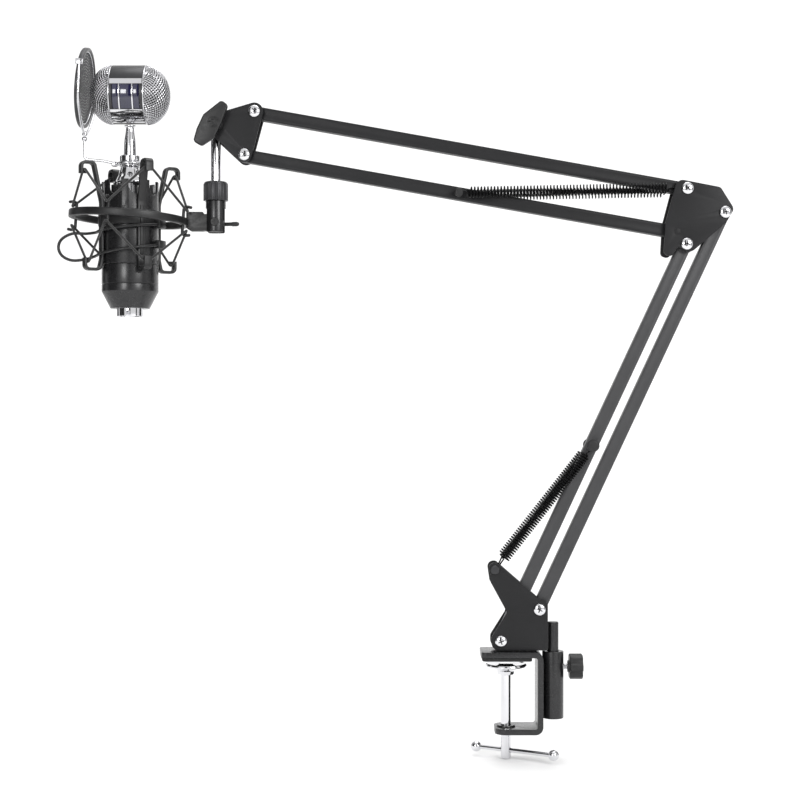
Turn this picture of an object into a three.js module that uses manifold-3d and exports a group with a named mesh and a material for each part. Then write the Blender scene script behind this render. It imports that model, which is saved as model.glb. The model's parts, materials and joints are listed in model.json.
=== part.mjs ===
// A condenser microphone with its pop filter, shock mount, spring-balanced desk arm and desk clamp.
// Millimetres, +Z up, +X towards the clamp's knob. The origin is the centre of the underside of the
// upper jaw's rubber pad, on the clamp screw's axis, and the arm's middle plane is Y = 0.
import * as THREE from "three";
import { mergeVertices } from "three/addons/utils/BufferGeometryUtils.js";
import Module from "manifold-3d";

const wasm = await Module();
wasm.setup();

// Driving dimensions
const gap = 0.3; // between pieces that touch

const jawWidth = 30; // clamp strip, along Y
const stripThickness = 4.4;
const padThickness = 2.6;
const jawLeft = -20.3;
const spineRight = 28.6;
const lowerJawTop = -53.3;
const lowerJawLeft = -9.2;
const clampScrewRadius = 4;
const clampScrewBottom = -79;
const tommyBarZ = -72.2;
const tommyBarTurn = 29.5; // degrees, right end towards -Y
const tommyBarShift = 7.5;
const tommyBarHalf = 34;

const pinX = 37.4; // swivel axis of the arm
const pinRadius = 4.5;
const tubeRadius = 8.5;
const tubeTop = 6.6;
const tubeBottom = -46.6;
const lockScrewZ = -5.8;

const sheet = 2; // bracket, elbow and head plates
const plateInner = 7.5; // half the space between a pair of plates
const plateOuter = plateInner + sheet;
const boltRadius = 2;
const boltHeadRadius = 4.75;
const holeRadius = boltRadius + gap;
const barHalf = 5; // square tube arms
const barWall = 1;

const basePivot = [-4.5, 15.3]; // X and Z of the inner lower bar's lower pivot
const lowerPivotStep = [30.5, 25.2]; // from an inner to an outer pivot of the lower arm
const lowerSpan = 347;
const lowerLean = 25.05; // degrees from upright, to the right
const elbowTopPivot = [143.1, 373.6];
const upperPivotStep = [-8.1, -34.1]; // from a top to a bottom pivot of the upper arm
const upperSpan = 348;
const upperRise = 10.07; // degrees above level, towards the microphone

const springRadius = 4.25;
const springWire = 0.55;
const springY = 9.75; // coil axis, beside the bars
const hookY = 6.3; // hooks between bar and plate
const lowerAnchor = [-9.2, 71.9];
const lowerStudAlong = 171;
const upperStudAlong = 175.7;

const wingPivot = [-231, 424.5];
const micPinRadius = 4;
const socketRadius = 8;
const socketTop = 364.4;
const socketBottom = 339.4;
const tiltPivotZ = 347.3;
const tongueHalf = 4;

const ringCentre = [-300, 350.8];
const ringRadius = 47.4;
const ringWidth = 4.5;
const ringHeight = 6;
const ringTilt = 4; // degrees, left side up
const postRadius = 1.3;
const postCircle = 45;
const postReach = 11.5;
const firstPost = -11; // degrees
const elasticRadius = 0.9;

const micX = -299.2;
const micRadius = 22.35;
const micWall = 2;
const crownTop = 379.6;
const seamZ = 313.3;
const tailTop = 291.7;
const tailBottom = 278.9;
const headZ = 448.8;
const headRadius = 23.4;
const bandHalf = 12.8;
const windowTurn = 13; // degrees below level
const capLength = 18.7;

const cageInner = micRadius + 0.5;
const cageThick = 2.2;
const armWidth = 6.4;
const firstArm = 31; // degrees
const upperHook = { foot: 29.5, radius: 41.8, z: 394, lip: 384, bend: 362 };
const lowerHook = { foot: 24.6, radius: 38.7, z: 308, lip: 318, bend: 318 };

const filterCentre = [-335.1, 454.6];
const filterRadius = 31.6;
const filterLean = 5; // degrees, top towards the microphone
const forkPivot = [-335.5, 414];
const forkBallRadius = 2.2;

// Finishes
const finish = {
  satinBlack: new THREE.MeshStandardMaterial({ color: 0x2b2b2d, roughness: 0.5, metalness: 0.3 }),
  armBlack: new THREE.MeshStandardMaterial({ color: 0x3a3a3c, roughness: 0.55, metalness: 0.3 }),
  blackPlastic: new THREE.MeshStandardMaterial({ color: 0x18181a, roughness: 0.6, metalness: 0 }),
  darkMetal: new THREE.MeshStandardMaterial({ color: 0x4c4c50, roughness: 0.4, metalness: 0.8 }),
  rubber: new THREE.MeshStandardMaterial({ color: 0x151515, roughness: 0.9, metalness: 0 }),
  chrome: new THREE.MeshStandardMaterial({ color: 0xd8d8da, roughness: 0.12, metalness: 1 }),
  springBlack: new THREE.MeshStandardMaterial({ color: 0x202022, roughness: 0.35, metalness: 0.7 }),
  silverMesh: new THREE.MeshStandardMaterial({ color: 0xb8b8bc, roughness: 0.3, metalness: 1 }),
  window: new THREE.MeshStandardMaterial({ color: 0x14142c, roughness: 0.1, metalness: 0 }),
  board: new THREE.MeshStandardMaterial({ color: 0x1d5a34, roughness: 0.6, metalness: 0 }),
  brass: new THREE.MeshStandardMaterial({ color: 0xb08d46, roughness: 0.35, metalness: 1 }),
};

const radians = THREE.MathUtils.degToRad;

// Joining and cutting closed geometries

function solidOf(geometry) {
  const bare = geometry.clone();
  bare.deleteAttribute("normal");
  bare.deleteAttribute("uv");
  const merged = mergeVertices(bare, 1e-4);
  return new wasm.Manifold(
    new wasm.Mesh({
      numProp: 3,
      vertProperties: new Float32Array(merged.attributes.position.array),
      triVerts: new Uint32Array(merged.index.array),
    }),
  );
}

function geometryOf(solid) {
  const mesh = solid.getMesh();
  const geometry = new THREE.BufferGeometry();
  geometry.setAttribute("position", new THREE.BufferAttribute(mesh.vertProperties, 3));
  geometry.setIndex(new THREE.BufferAttribute(mesh.triVerts, 1));
  return geometry;
}

function join(...pieces) {
  return geometryOf(pieces.map(solidOf).reduce((whole, piece) => whole.add(piece)));
}

function cut(piece, ...tools) {
  return geometryOf(tools.map(solidOf).reduce((rest, tool) => rest.subtract(tool), solidOf(piece)));
}

function common(first, second) {
  return geometryOf(solidOf(first).intersect(solidOf(second)));
}

// Basic shapes

function block([x0, x1], [y0, y1], [z0, z1]) {
  const box = new THREE.BoxGeometry(x1 - x0, y1 - y0, z1 - z0);
  return box.translate((x0 + x1) / 2, (y0 + y1) / 2, (z0 + z1) / 2);
}

function rod(from, to, radius, sides = 12, endRadius = radius) {
  const start = new THREE.Vector3(...from);
  const along = new THREE.Vector3(...to).sub(start);
  const shaft = new THREE.CylinderGeometry(endRadius, radius, along.length(), sides);
  const turn = new THREE.Quaternion();
  turn.setFromUnitVectors(new THREE.Vector3(0, 1, 0), along.clone().normalize());
  shaft.applyQuaternion(turn);
  const middle = start.addScaledVector(along, 0.5);
  return shaft.translate(middle.x, middle.y, middle.z);
}

function rodY([x, z], [y0, y1], radius, sides = 12) {
  return rod([x, y0, z], [x, y1, z], radius, sides);
}

// Turned about Z: the profile's points are [radius, height], from the bottom up the outside
function turned(profile, sides = 24) {
  const points = profile.map(([r, h]) => new THREE.Vector2(r, h));
  return new THREE.LatheGeometry(points, sides).rotateX(Math.PI / 2);
}

// An outline whose corners are [x, y, radius], each rounded by an arc in steps of about 22 degrees
function rounded(corners) {
  const points = [];
  corners.forEach(([x, y, radius = 0], i) => {
    const here = new THREE.Vector2(x, y);
    const before = new THREE.Vector2(...corners.at(i - 1).slice(0, 2)).sub(here).normalize();
    const next = corners[(i + 1) % corners.length];
    const after = new THREE.Vector2(...next.slice(0, 2)).sub(here).normalize();
    if (radius === 0) {
      points.push(here);
      return;
    }
    const halfAngle = Math.acos(THREE.MathUtils.clamp(before.dot(after), -1, 1)) / 2;
    const middle = before.clone().add(after).normalize();
    const centre = here.clone().addScaledVector(middle, radius / Math.sin(halfAngle));
    const first = here.clone().addScaledVector(before, radius / Math.tan(halfAngle)).sub(centre);
    const last = here.clone().addScaledVector(after, radius / Math.tan(halfAngle)).sub(centre);
    const sweep = Math.atan2(first.cross(last), first.dot(last));
    const steps = Math.max(2, Math.round(Math.abs(sweep) / radians(30)));
    for (let k = 0; k <= steps; k += 1) {
      points.push(first.clone().rotateAround(new THREE.Vector2(), (sweep * k) / steps).add(centre));
    }
  });
  return new THREE.Shape(points);
}

// A flat piece whose outline is in X and Z, between two depths in Y
function plate(shape, [y0, y1]) {
  const depth = y1 - y0;
  const flat = new THREE.ExtrudeGeometry(shape, { depth, bevelEnabled: false, curveSegments: 8 });
  return flat.rotateX(Math.PI / 2).translate(0, y1, 0);
}

function slab(shape, [z0, z1]) {
  const depth = z1 - z0;
  const flat = new THREE.ExtrudeGeometry(shape, { depth, bevelEnabled: false, curveSegments: 8 });
  return flat.translate(0, 0, z0);
}

// Round wire or cord through points
function wire(points, radius, steps, sides = 8) {
  const spots = points.map((p) => new THREE.Vector3(...p));
  const extrudePath = new THREE.CatmullRomCurve3(spots, false, "centripetal");
  const circle = new THREE.Shape();
  circle.absarc(0, 0, radius, 0, Math.PI * 2);
  const curveSegments = sides / 2;
  return new THREE.ExtrudeGeometry(circle, { steps, curveSegments, bevelEnabled: false, extrudePath });
}

// Straight runs of round cord, each a little long so that they join into a closed loop
function cordLoop(points, radius) {
  const runs = points.map((p, i) => {
    const start = new THREE.Vector3(...p);
    const end = new THREE.Vector3(...points[(i + 1) % points.length]);
    const extra = end.clone().sub(start).setLength(radius * 0.6);
    return rod(start.sub(extra).toArray(), end.add(extra).toArray(), radius, 6);
  });
  return join(...runs);
}

function around(centreX, radius, degrees, z) {
  const angle = radians(degrees);
  return [centreX + radius * Math.cos(angle), radius * Math.sin(angle), z];
}

function step([x, z], [dx, dz]) {
  return [x + dx, z + dz];
}

const assembly = new THREE.Group();

function add(name, geometry, material, parent = assembly) {
  const mesh = new THREE.Mesh(geometry, material.clone());
  mesh.name = name;
  parent.add(mesh);
  return mesh;
}

// Points of the linkage, worked out from the spans and angles
const lowerAlong = [Math.sin(radians(lowerLean)), Math.cos(radians(lowerLean))];
const upperAlong = [-Math.cos(radians(upperRise)), Math.sin(radians(upperRise))];
const alongLower = (distance) => step(basePivot, lowerAlong.map((c) => c * distance));
const baseOuterPivot = step(basePivot, lowerPivotStep);
const elbowInnerPivot = alongLower(lowerSpan);
const elbowOuterPivot = step(elbowInnerPivot, lowerPivotStep);
const elbowRivet = step(elbowTopPivot, upperPivotStep);
const headTopPivot = step(elbowTopPivot, upperAlong.map((c) => c * upperSpan));
const headBottomPivot = step(headTopPivot, upperPivotStep);
const alongBottomBar = (distance) => step(elbowRivet, upperAlong.map((c) => c * distance));
const lowerStud = alongLower(lowerStudAlong);
const upperStud = alongBottomBar(upperStudAlong);

// Desk clamp

function clampFrame() {
  const top = padThickness + gap;
  const bottom = lowerJawTop - stripThickness;
  const profile = rounded([
    [jawLeft, top],
    [jawLeft, top + stripThickness],
    [spineRight, top + stripThickness, 6.2],
    [spineRight, bottom, 6.2],
    [lowerJawLeft, bottom],
    [lowerJawLeft, lowerJawTop],
    [spineRight - stripThickness, lowerJawTop, 1.8],
    [spineRight - stripThickness, top, 1.8],
  ]);
  const strip = plate(profile, [-jawWidth / 2, jawWidth / 2]);
  const half = jawWidth / 2;
  const roundLower = slab(
    rounded([[lowerJawLeft, -half, 9], [60, -half], [60, half], [lowerJawLeft, half, 9]]),
    [bottom - 1, -20],
  );
  const upperPlan = rounded([[jawLeft, -half, 4], [60, -half], [60, half], [jawLeft, half, 4]]);
  const roundUpper = slab(upperPlan, [-20, 20]);
  const screwHole = rod([0, 0, bottom - 1], [0, 0, lowerJawTop + 1], clampScrewRadius + gap, 20);
  return cut(common(strip, join(roundLower, roundUpper)), screwHole);
}

function clampTube() {
  const tubeProfile = [
    [5, tubeBottom], [tubeRadius, tubeBottom], [tubeRadius, tubeTop], [5, tubeTop], [5, tubeBottom],
  ];
  const tube = turned(tubeProfile, 20);
  tube.translate(pinX, 0, 0);
  return cut(tube, rod([pinX, 0, lockScrewZ], [pinX + 12, 0, lockScrewZ], 2.6, 12));
}

function padDisc() {
  const dish = turned([
    [0, -9], [6, -9], [11.5, -6.2], [16.2, -5.6], [16.7, -4.4], [15.2, -3.2], [9, -4.6], [5.2, -3.4],
    [0, -3.4],
  ], 20);
  const hub = turned([[5.2, -11.9], [6.6, -11.9], [7.2, -9.2], [6, -8], [5.2, -8], [5.2, -11.9]], 20);
  return join(dish, hub);
}

function clampScrew() {
  const ballEnd = -9 - gap;
  const shaft = turned([
    [0, clampScrewBottom], [3.2, clampScrewBottom], [clampScrewRadius, clampScrewBottom + 0.8],
    [clampScrewRadius, ballEnd - 1.4], [3, ballEnd], [0, ballEnd],
  ], 20);
  const away = tommyDirection();
  const reach = 8;
  const hole = rod(
    [-away[0] * reach, -away[1] * reach, tommyBarZ],
    [away[0] * reach, away[1] * reach, tommyBarZ],
    2.05,
    12,
  );
  return cut(shaft, hole);
}

function tommyDirection() {
  const angle = radians(-tommyBarTurn);
  return [Math.cos(angle), Math.sin(angle)];
}

function tommyBar() {
  const [dx, dy] = tommyDirection();
  const end = (side) => {
    const distance = tommyBarShift + side * tommyBarHalf;
    return [dx * distance, dy * distance, tommyBarZ];
  };
  const ball = (side) => new THREE.SphereGeometry(4.35, 10, 7).translate(...end(side));
  return join(rod(end(-1), end(1), 1.75, 12), ball(-1), ball(1));
}

function lockKnob() {
  const start = pinX + tubeRadius + 4.4;
  const grip = new THREE.CylinderGeometry(10.1, 10.1, 10.6, 24).rotateZ(Math.PI / 2);
  grip.translate(start + 5.3, 0, lockScrewZ);
  const flutes = [];
  for (let i = 0; i < 6; i += 1) {
    const angle = radians(60 * i + 30);
    const y = Math.cos(angle) * 12.4;
    const z = lockScrewZ + Math.sin(angle) * 12.4;
    flutes.push(rod([start - 1, y, z], [start + 12, y, z], 3.6, 10));
  }
  return cut(grip, ...flutes, rod([start - 1, 0, lockScrewZ], [start + 7, 0, lockScrewZ], 2.6, 12));
}

function buildClamp() {
  add("clamp_frame", clampFrame(), finish.satinBlack);
  add("clamp_tube", clampTube(), finish.satinBlack);
  const half = jawWidth / 2 - 1;
  const padPlan = rounded([[jawLeft + 1, -half, 3], [20, -half, 3], [20, half, 3], [jawLeft + 1, half, 3]]);
  add("jaw_pad", slab(padPlan, [0, padThickness]), finish.rubber);
  add("clamp_pad_disc", padDisc(), finish.chrome);
  add("clamp_screw", clampScrew(), finish.chrome);
  add("tommy_bar", tommyBar(), finish.chrome);
  const lockTip = pinX + pinRadius + gap;
  const lockEnd = pinX + tubeRadius + 4.4 + 7 - gap;
  add("lock_screw", rod([lockTip, 0, lockScrewZ], [lockEnd, 0, lockScrewZ], 2.3, 12), finish.chrome);
  add("lock_knob", lockKnob(), finish.blackPlastic);
}

// Bolts: a domed head in front and a nut behind, outside a pair of plates

function bolt([x, z]) {
  const face = plateOuter + gap;
  const body = turned([
    [0, -face], [boltRadius, -face], [boltRadius, face],
    [boltHeadRadius, face], [boltHeadRadius - 0.3, face + 1], [3.2, face + 2], [0, face + 2.4],
  ], 16);
  body.rotateX(Math.PI / 2).translate(x, 0, z);
  const nut = rodY([x, z], [face, face + 3.2], 4.3, 6);
  return join(body, nut, rodY([x, z], [0, face + 4], boltRadius, 12));
}

function drilled(piece, spots, radius = holeRadius) {
  return cut(piece, ...spots.map((spot) => rodY(spot, [-30, 30], radius, 14)));
}

// Swivelling base bracket

function baseBracket() {
  const outline = rounded([
    [-14.9, 77.6, 4.6], [-7.6, 77.5, 3.4], [25.4, 48.8, 2], [32.6, 45.6, 3], [32.6, 8.2, 2],
    [-12, 8.2, 6], [-12, 18.5, 5], [0.4, 38.2, 3], [-12.6, 62, 4],
  ]);
  const folded = plate(outline, [-plateOuter, plateOuter]);
  const inside = join(
    block([-40, 30.6], [-plateInner, plateInner], [0, 90]),
    block([20, 40], [-plateInner, plateInner], [30, 90]),
  );
  return drilled(cut(folded, inside), [basePivot, baseOuterPivot, lowerAnchor]);
}

function buildBase() {
  add("base_bracket", baseBracket(), finish.armBlack);
  const pin = turned([
    [0, -42], [pinRadius - 1, -42], [pinRadius, -41], [pinRadius, 29], [pinRadius - 0.8, 29.8], [0, 29.8],
  ], 24);
  add("base_pin", pin.translate(pinX, 0, 0), finish.satinBlack);
  const anchorPin = join(
    rodY(lowerAnchor, [-plateOuter - 1, plateOuter + 1], boltRadius, 14),
    rodY(lowerAnchor, [-plateOuter - 1.5, -plateOuter - gap], 3.6, 16),
    rodY(lowerAnchor, [plateOuter + gap, plateOuter + 1.5], 3.6, 16),
  );
  add("base_spring_pin", anchorPin, finish.darkMetal);
  add("base_bolt_inner", bolt(basePivot), finish.chrome);
  add("base_bolt_outer", bolt(baseOuterPivot), finish.chrome);
}

// Square-tube bars, drawn along X from their first pivot

function bar(span, extraHoles = []) {
  const outline = rounded([
    [-barHalf, -barHalf, barHalf], [span + barHalf, -barHalf, barHalf],
    [span + barHalf, barHalf, barHalf], [-barHalf, barHalf, barHalf],
  ]);
  const inner = barHalf - barWall;
  const bore = block([-20, span + 20], [-inner, inner], [-inner, inner]);
  const holes = [0, span, ...extraHoles].map((x) => [x, 0]);
  return drilled(cut(plate(outline, [-barHalf, barHalf]), bore), holes);
}

function addBar(name, pivot, degreesUp, span, extraHoles) {
  const mesh = add(name, bar(span, extraHoles), finish.armBlack);
  mesh.position.set(pivot[0], 0, pivot[1]);
  mesh.rotation.y = -radians(degreesUp);
}

// A stud through a bar, with a head at each end for a spring's hook
function stud([x, z], headRadius) {
  const reach = springY + 3.2;
  return join(
    rodY([x, z], [-reach, reach], boltRadius, 14),
    rodY([x, z], [-reach - 1.2, -reach], headRadius, 16),
    rodY([x, z], [reach, reach + 1.2], headRadius, 16),
  );
}

// A spring as the tube that its coil fills, with a hooked eye at each end.
// It runs from a stud beside the bar to an axle between the plates, and its wire has bent in between
// them where it is plateReach from the axle; side is -1 in front, 1 behind.
function spring(from, to, coilStart, coilEnd, plateReach, side) {
  const [x0, z0] = from;
  const length = Math.hypot(to[0] - x0, to[1] - z0);
  const point = (distance, y) => [
    x0 + ((to[0] - x0) * distance) / length,
    side * y,
    z0 + ((to[1] - z0) * distance) / length,
  ];
  const eyeRadius = boltRadius + gap + springWire;
  const eye = (distance, y) => {
    const ring = new THREE.TorusGeometry(eyeRadius, springWire, 5, 10).rotateX(Math.PI / 2);
    return ring.translate(...point(distance, y));
  };
  return join(
    rod(point(coilStart, springY), point(coilEnd, springY), springRadius, 14),
    rod(point(eyeRadius, springY), point(coilStart + 1, springY), springWire, 6),
    rod(point(coilEnd - 1, springY - 1), point(length - plateReach, hookY), springWire, 6),
    rod(point(length - plateReach - 0.3, hookY), point(length - eyeRadius, hookY), springWire, 6),
    eye(0, springY),
    eye(length, hookY),
  );
}

function addSprings(name, from, to, coilStart, coilEnd, plateReach) {
  add(name + "_front", spring(from, to, coilStart, coilEnd, plateReach, -1), finish.springBlack);
  add(name + "_rear", spring(from, to, coilStart, coilEnd, plateReach, 1), finish.springBlack);
}

function buildLowerArm() {
  addBar("lower_inner_bar", basePivot, 90 - lowerLean, lowerSpan, [lowerStudAlong]);
  addBar("lower_outer_bar", baseOuterPivot, 90 - lowerLean, lowerSpan);
  add("lower_spring_stud", stud(lowerStud, 5), finish.blackPlastic);
  const length = Math.hypot(lowerStud[0] - lowerAnchor[0], lowerStud[1] - lowerAnchor[1]);
  addSprings("lower_spring", lowerStud, lowerAnchor, 8.5, length - 11, 6.8);
}

// Elbow

function elbowPlate() {
  const outline = rounded([
    [135.2, 381.2, 6], [169.2, 374.6, 4], [180, 357.4, 5], [173.6, 346.4, 6], [144.2, 321.4, 7.5],
    [135.6, 327.6, 1.5], [130.6, 319.4, 3.6], [124.2, 321.6, 3.4], [125.4, 345.5, 4], [131.6, 369, 3],
  ]);
  return drilled(plate(outline, [-sheet / 2, sheet / 2]), [
    elbowTopPivot, elbowRivet, elbowInnerPivot, elbowOuterPivot,
  ]);
}

function buildElbow() {
  for (const [name, side] of [["front", -1], ["rear", 1]]) {
    const face = add("elbow_plate_" + name, elbowPlate(), finish.armBlack);
    face.position.y = side * (plateInner + sheet / 2);
  }
  add("elbow_bolt_top", bolt(elbowTopPivot), finish.chrome);
  add("elbow_bolt_outer", bolt(elbowOuterPivot), finish.chrome);
  add("elbow_bolt_inner", bolt(elbowInnerPivot), finish.chrome);
  add("elbow_rivet", rodY(elbowRivet, [-plateOuter, plateOuter], boltRadius, 14), finish.armBlack);
}

function buildUpperArm() {
  addBar("upper_top_bar", elbowTopPivot, 180 - upperRise, upperSpan);
  addBar("upper_bottom_bar", elbowRivet, 180 - upperRise, upperSpan, [upperStudAlong]);
  add("upper_spring_stud", stud(upperStud, 3.6), finish.blackPlastic);
  const length = Math.hypot(upperStud[0] - elbowTopPivot[0], upperStud[1] - elbowTopPivot[1]);
  addSprings("upper_spring", upperStud, elbowTopPivot, 7, length - 15, 12);
}

// Head at the microphone end of the arm

function hullOfCircles(circles) {
  const points = [];
  for (const [[x, z], radius] of circles) {
    for (let i = 0; i < 20; i += 1) {
      const angle = radians(18 * i);
      points.push(new THREE.Vector2(x + radius * Math.cos(angle), z + radius * Math.sin(angle)));
    }
  }
  points.sort((a, b) => a.x - b.x || a.y - b.y);
  const side = (list) => {
    const chain = [];
    for (const p of list) {
      while (chain.length > 1 && turnOf(chain.at(-2), chain.at(-1), p) <= 0) chain.pop();
      chain.push(p);
    }
    return chain.slice(0, -1);
  };
  return new THREE.Shape([...side(points), ...side([...points].reverse())]);
}

function turnOf(a, b, c) {
  return (b.x - a.x) * (c.y - a.y) - (b.y - a.y) * (c.x - a.x);
}

function headPlate() {
  const outline = hullOfCircles([[[-229.5, 424], 8.5], [headTopPivot, 7], [headBottomPivot, 6]]);
  const plain = plate(outline, [-sheet / 2, sheet / 2]);
  return drilled(drilled(plain, [headTopPivot, headBottomPivot]), [wingPivot], 2.7);
}

function wingKnob() {
  const wings = plate(
    rounded([
      [-238.8, 430.6, 3], [-224.6, 441.8, 3], [-219.2, 438, 3], [-224.8, 423.2, 6],
      [-230, 412.4, 6], [-240.2, 405.6, 3], [-246.8, 409.6, 3], [-244, 419.6, 6],
    ]),
    [-18.5, -13.4],
  );
  return join(
    wings,
    rodY(wingPivot, [-14, -plateOuter - gap], 7, 20),
    rodY(wingPivot, [-14, 13], 2.4, 14),
    rodY(wingPivot, [plateOuter + gap, 13], 5, 6),
  );
}

function micPin() {
  const [x, z] = wingPivot;
  const barrel = rodY(wingPivot, [-plateInner + gap, plateInner - gap], 6.3, 20);
  const shaft = turned([
    [0, socketTop - 4.7], [micPinRadius - 0.6, socketTop - 4.7], [micPinRadius, socketTop - 4],
    [micPinRadius, z - 2], [0, z - 2],
  ], 20);
  return drilled(join(barrel, shaft.translate(x, 0, 0)), [wingPivot], 2.7);
}

function buildHead() {
  for (const [name, side] of [["front", -1], ["rear", 1]]) {
    const face = add("head_plate_" + name, headPlate(), finish.armBlack);
    face.position.y = side * (plateInner + sheet / 2);
  }
  add("head_bolt_top", bolt(headTopPivot), finish.chrome);
  add("head_bolt_bottom", bolt(headBottomPivot), finish.chrome);
  add("wing_knob", wingKnob(), finish.blackPlastic);
  add("mic_pin", micPin(), finish.chrome);
}

// Shock mount

function mountSocket() {
  const x = wingPivot[0];
  const tube = turned([
    [0, socketBottom], [socketRadius - 0.6, socketBottom], [socketRadius, socketBottom + 0.8],
    [socketRadius, socketTop], [0, socketTop],
  ], 24).translate(x, 0, 0);
  const slotHalf = tongueHalf + gap;
  const slot = block([x - 12, x + 12], [-slotHalf, slotHalf], [socketBottom - 1, 358.6]);
  const bore = rod([x, 0, socketTop - 5], [x, 0, socketTop + 1], micPinRadius + gap, 16);
  return drilled(cut(tube, slot, bore), [[x, tiltPivotZ]]);
}

function collarNut() {
  const bottom = socketTop + gap;
  const top = 379.9;
  const collar = turned([
    [micPinRadius + gap, bottom], [9.4, bottom], [9.8, bottom + 0.6], [9.8, top - 1.6], [8.8, top - 0.4],
    [micPinRadius + gap, top], [micPinRadius + gap, bottom],
  ], 20);
  return collar.translate(wingPivot[0], 0, 0);
}

function tiltLever() {
  const pivot = [wingPivot[0], tiltPivotZ];
  return join(
    rodY(pivot, [-socketRadius - 0.6, 12], boltRadius, 12),
    rodY(pivot, [-socketRadius - 1.6, -socketRadius - gap], 3.4, 14),
    rodY(pivot, [socketRadius + gap, 12.6], 3.6, 14),
    rod([pivot[0], 10.6, tiltPivotZ], [pivot[0] + 17.4, 10.6, tiltPivotZ], 1.5, 10, 1.9),
  );
}

// Ring centred on its own group's origin, with four hooked posts for the elastics
function mountRing() {
  const inner = ringRadius - ringWidth;
  const half = ringHeight / 2;
  const hoop = [[inner, -half], [ringRadius, -half], [ringRadius, half], [inner, half], [inner, -half]];
  const band = turned(hoop, 32);
  const posts = [];
  for (let i = 0; i < 4; i += 1) {
    const at = (radius, z) => around(0, radius, firstPost + 90 * i, z);
    posts.push(rod(at(postCircle, -postReach), at(postCircle, postReach), postRadius, 6));
    for (const side of [-1, 1]) {
      const foot = at(postCircle - 0.4, side * postReach);
      const tip = at(postCircle + 6, side * (postReach - 0.4));
      posts.push(rod(foot, tip, postRadius, 6));
    }
  }
  return join(band, ...posts);
}

function ringTongue() {
  const pivotX = wingPivot[0] - ringCentre[0];
  const pivotZ = tiltPivotZ - ringCentre[1];
  const outline = rounded([
    [ringRadius - 1.5, pivotZ - 4.5, 1], [ringRadius + 2.2, pivotZ - 6.8, 1], [pivotX - 10, pivotZ - 6.8, 2],
    [pivotX - 10, pivotZ + 8.4, 2], [ringRadius - 1.5, pivotZ + 8.4, 1],
  ]);
  const neck = block([pivotX - 11, pivotX], [-tongueHalf, tongueHalf], [pivotZ - 6.6, pivotZ + 6.6]);
  const knuckle = rodY([pivotX, pivotZ], [-tongueHalf, tongueHalf], 6.6, 20);
  return drilled(join(plate(outline, [-tongueHalf, tongueHalf]), neck, knuckle), [[pivotX, pivotZ]]);
}

function buildRing() {
  const ring = mountRing().rotateY(radians(ringTilt));
  const mesh = add("mount_ring", join(ring, ringTongue()), finish.blackPlastic);
  mesh.position.set(ringCentre[0], 0, ringCentre[1]);
}

// Cage round the microphone: four arms, hooked out at both ends, on a middle band
function cageArm() {
  const inner = cageInner;
  const outer = inner + cageThick;
  const up = upperHook;
  const low = lowerHook;
  const outline = rounded([
    [low.foot, low.z, 4], [inner, low.bend, 6], [inner, up.bend, 12], [up.foot, up.z, 4],
    [up.radius, up.z, 4], [up.radius, up.lip],
    [up.radius - cageThick, up.lip], [up.radius - cageThick, up.z - cageThick, 2],
    [up.foot + cageThick, up.z - cageThick, 2], [outer, up.bend, 12],
    [outer, low.bend, 6], [low.foot + cageThick, low.z + cageThick, 2],
    [low.radius - cageThick, low.z + cageThick, 2], [low.radius - cageThick, low.lip],
    [low.radius, low.lip], [low.radius, low.z, 4],
  ]);
  const foot = (hook, z0, z1) => block([hook.radius - 6, hook.radius - 1], [-1.5, 1.5], [z0, z1]);
  const strip = plate(outline, [-armWidth / 2, armWidth / 2]);
  return join(strip, foot(up, up.lip, up.lip + 2), foot(low, low.lip - 2, low.lip));
}

function mountCage() {
  const outer = cageInner + cageThick;
  const hoop = [[cageInner, 344], [outer, 344], [outer, 356], [cageInner, 356], [cageInner, 344]];
  const band = turned(hoop, 24);
  const arms = [0, 1, 2, 3].map((i) => cageArm().rotateZ(radians(firstArm + 90 * i)));
  const roundBore = rod([0, 0, 300], [0, 0, 400], cageInner, 28);
  return cut(join(band, ...arms), roundBore).translate(micX, 0, 0);
}

function wireClip() {
  const radius = cageInner + cageThick + 2.2;
  const handle = (x, z) => [x, -6, z];
  const run = (z0, z1) => {
    const points = [];
    for (let degrees = -20; degrees >= -155; degrees -= 15) {
      const share = (-20 - degrees) / 135;
      points.push(around(micX, radius, degrees, z0 + (z1 - z0) * share));
    }
    return points;
  };
  return wire([
    ...run(345, 338.4),
    handle(-333, 338), handle(-344, 338), handle(-352.4, 333.6), handle(-355, 327), handle(-352, 320.4),
    handle(-344, 316.8), handle(-333, 317.8),
    ...run(329, 320).reverse(),
  ], 1.2, 64, 6);
}

function postPoint(degrees, z) {
  const local = new THREE.Vector3(...around(0, postCircle + 3.8, degrees, z));
  local.applyAxisAngle(new THREE.Vector3(0, 1, 0), radians(ringTilt));
  return [local.x + ringCentre[0], local.y, local.z + ringCentre[1]];
}

// side is 1 for the upper elastic, -1 for the lower one
function elastic(side) {
  const hook = side > 0 ? upperHook : lowerHook;
  const restZ = side > 0 ? hook.lip + 2 + elasticRadius + gap : hook.lip - 2 - elasticRadius - gap;
  const reach = postReach - postRadius - elasticRadius - 2.3;
  const points = [];
  for (let i = 0; i < 4; i += 1) {
    points.push(postPoint(firstPost + 90 * i, side * reach));
    for (const turn of [-3.4, 3.4]) {
      points.push(around(micX, hook.radius - 3.6, firstArm + 90 * i + turn, restZ));
    }
  }
  return cordLoop(points, elasticRadius);
}

function buildMount() {
  add("mount_socket", mountSocket(), finish.satinBlack);
  add("collar_nut", collarNut(), finish.darkMetal);
  add("tilt_lever", tiltLever(), finish.blackPlastic);
  buildRing();
  add("mount_cage", mountCage(), finish.blackPlastic);
  add("wire_clip", wireClip(), finish.springBlack);
  add("elastic_upper", elastic(1), finish.rubber);
  add("elastic_lower", elastic(-1), finish.rubber);
}

// Microphone, turned about its own axis

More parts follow.
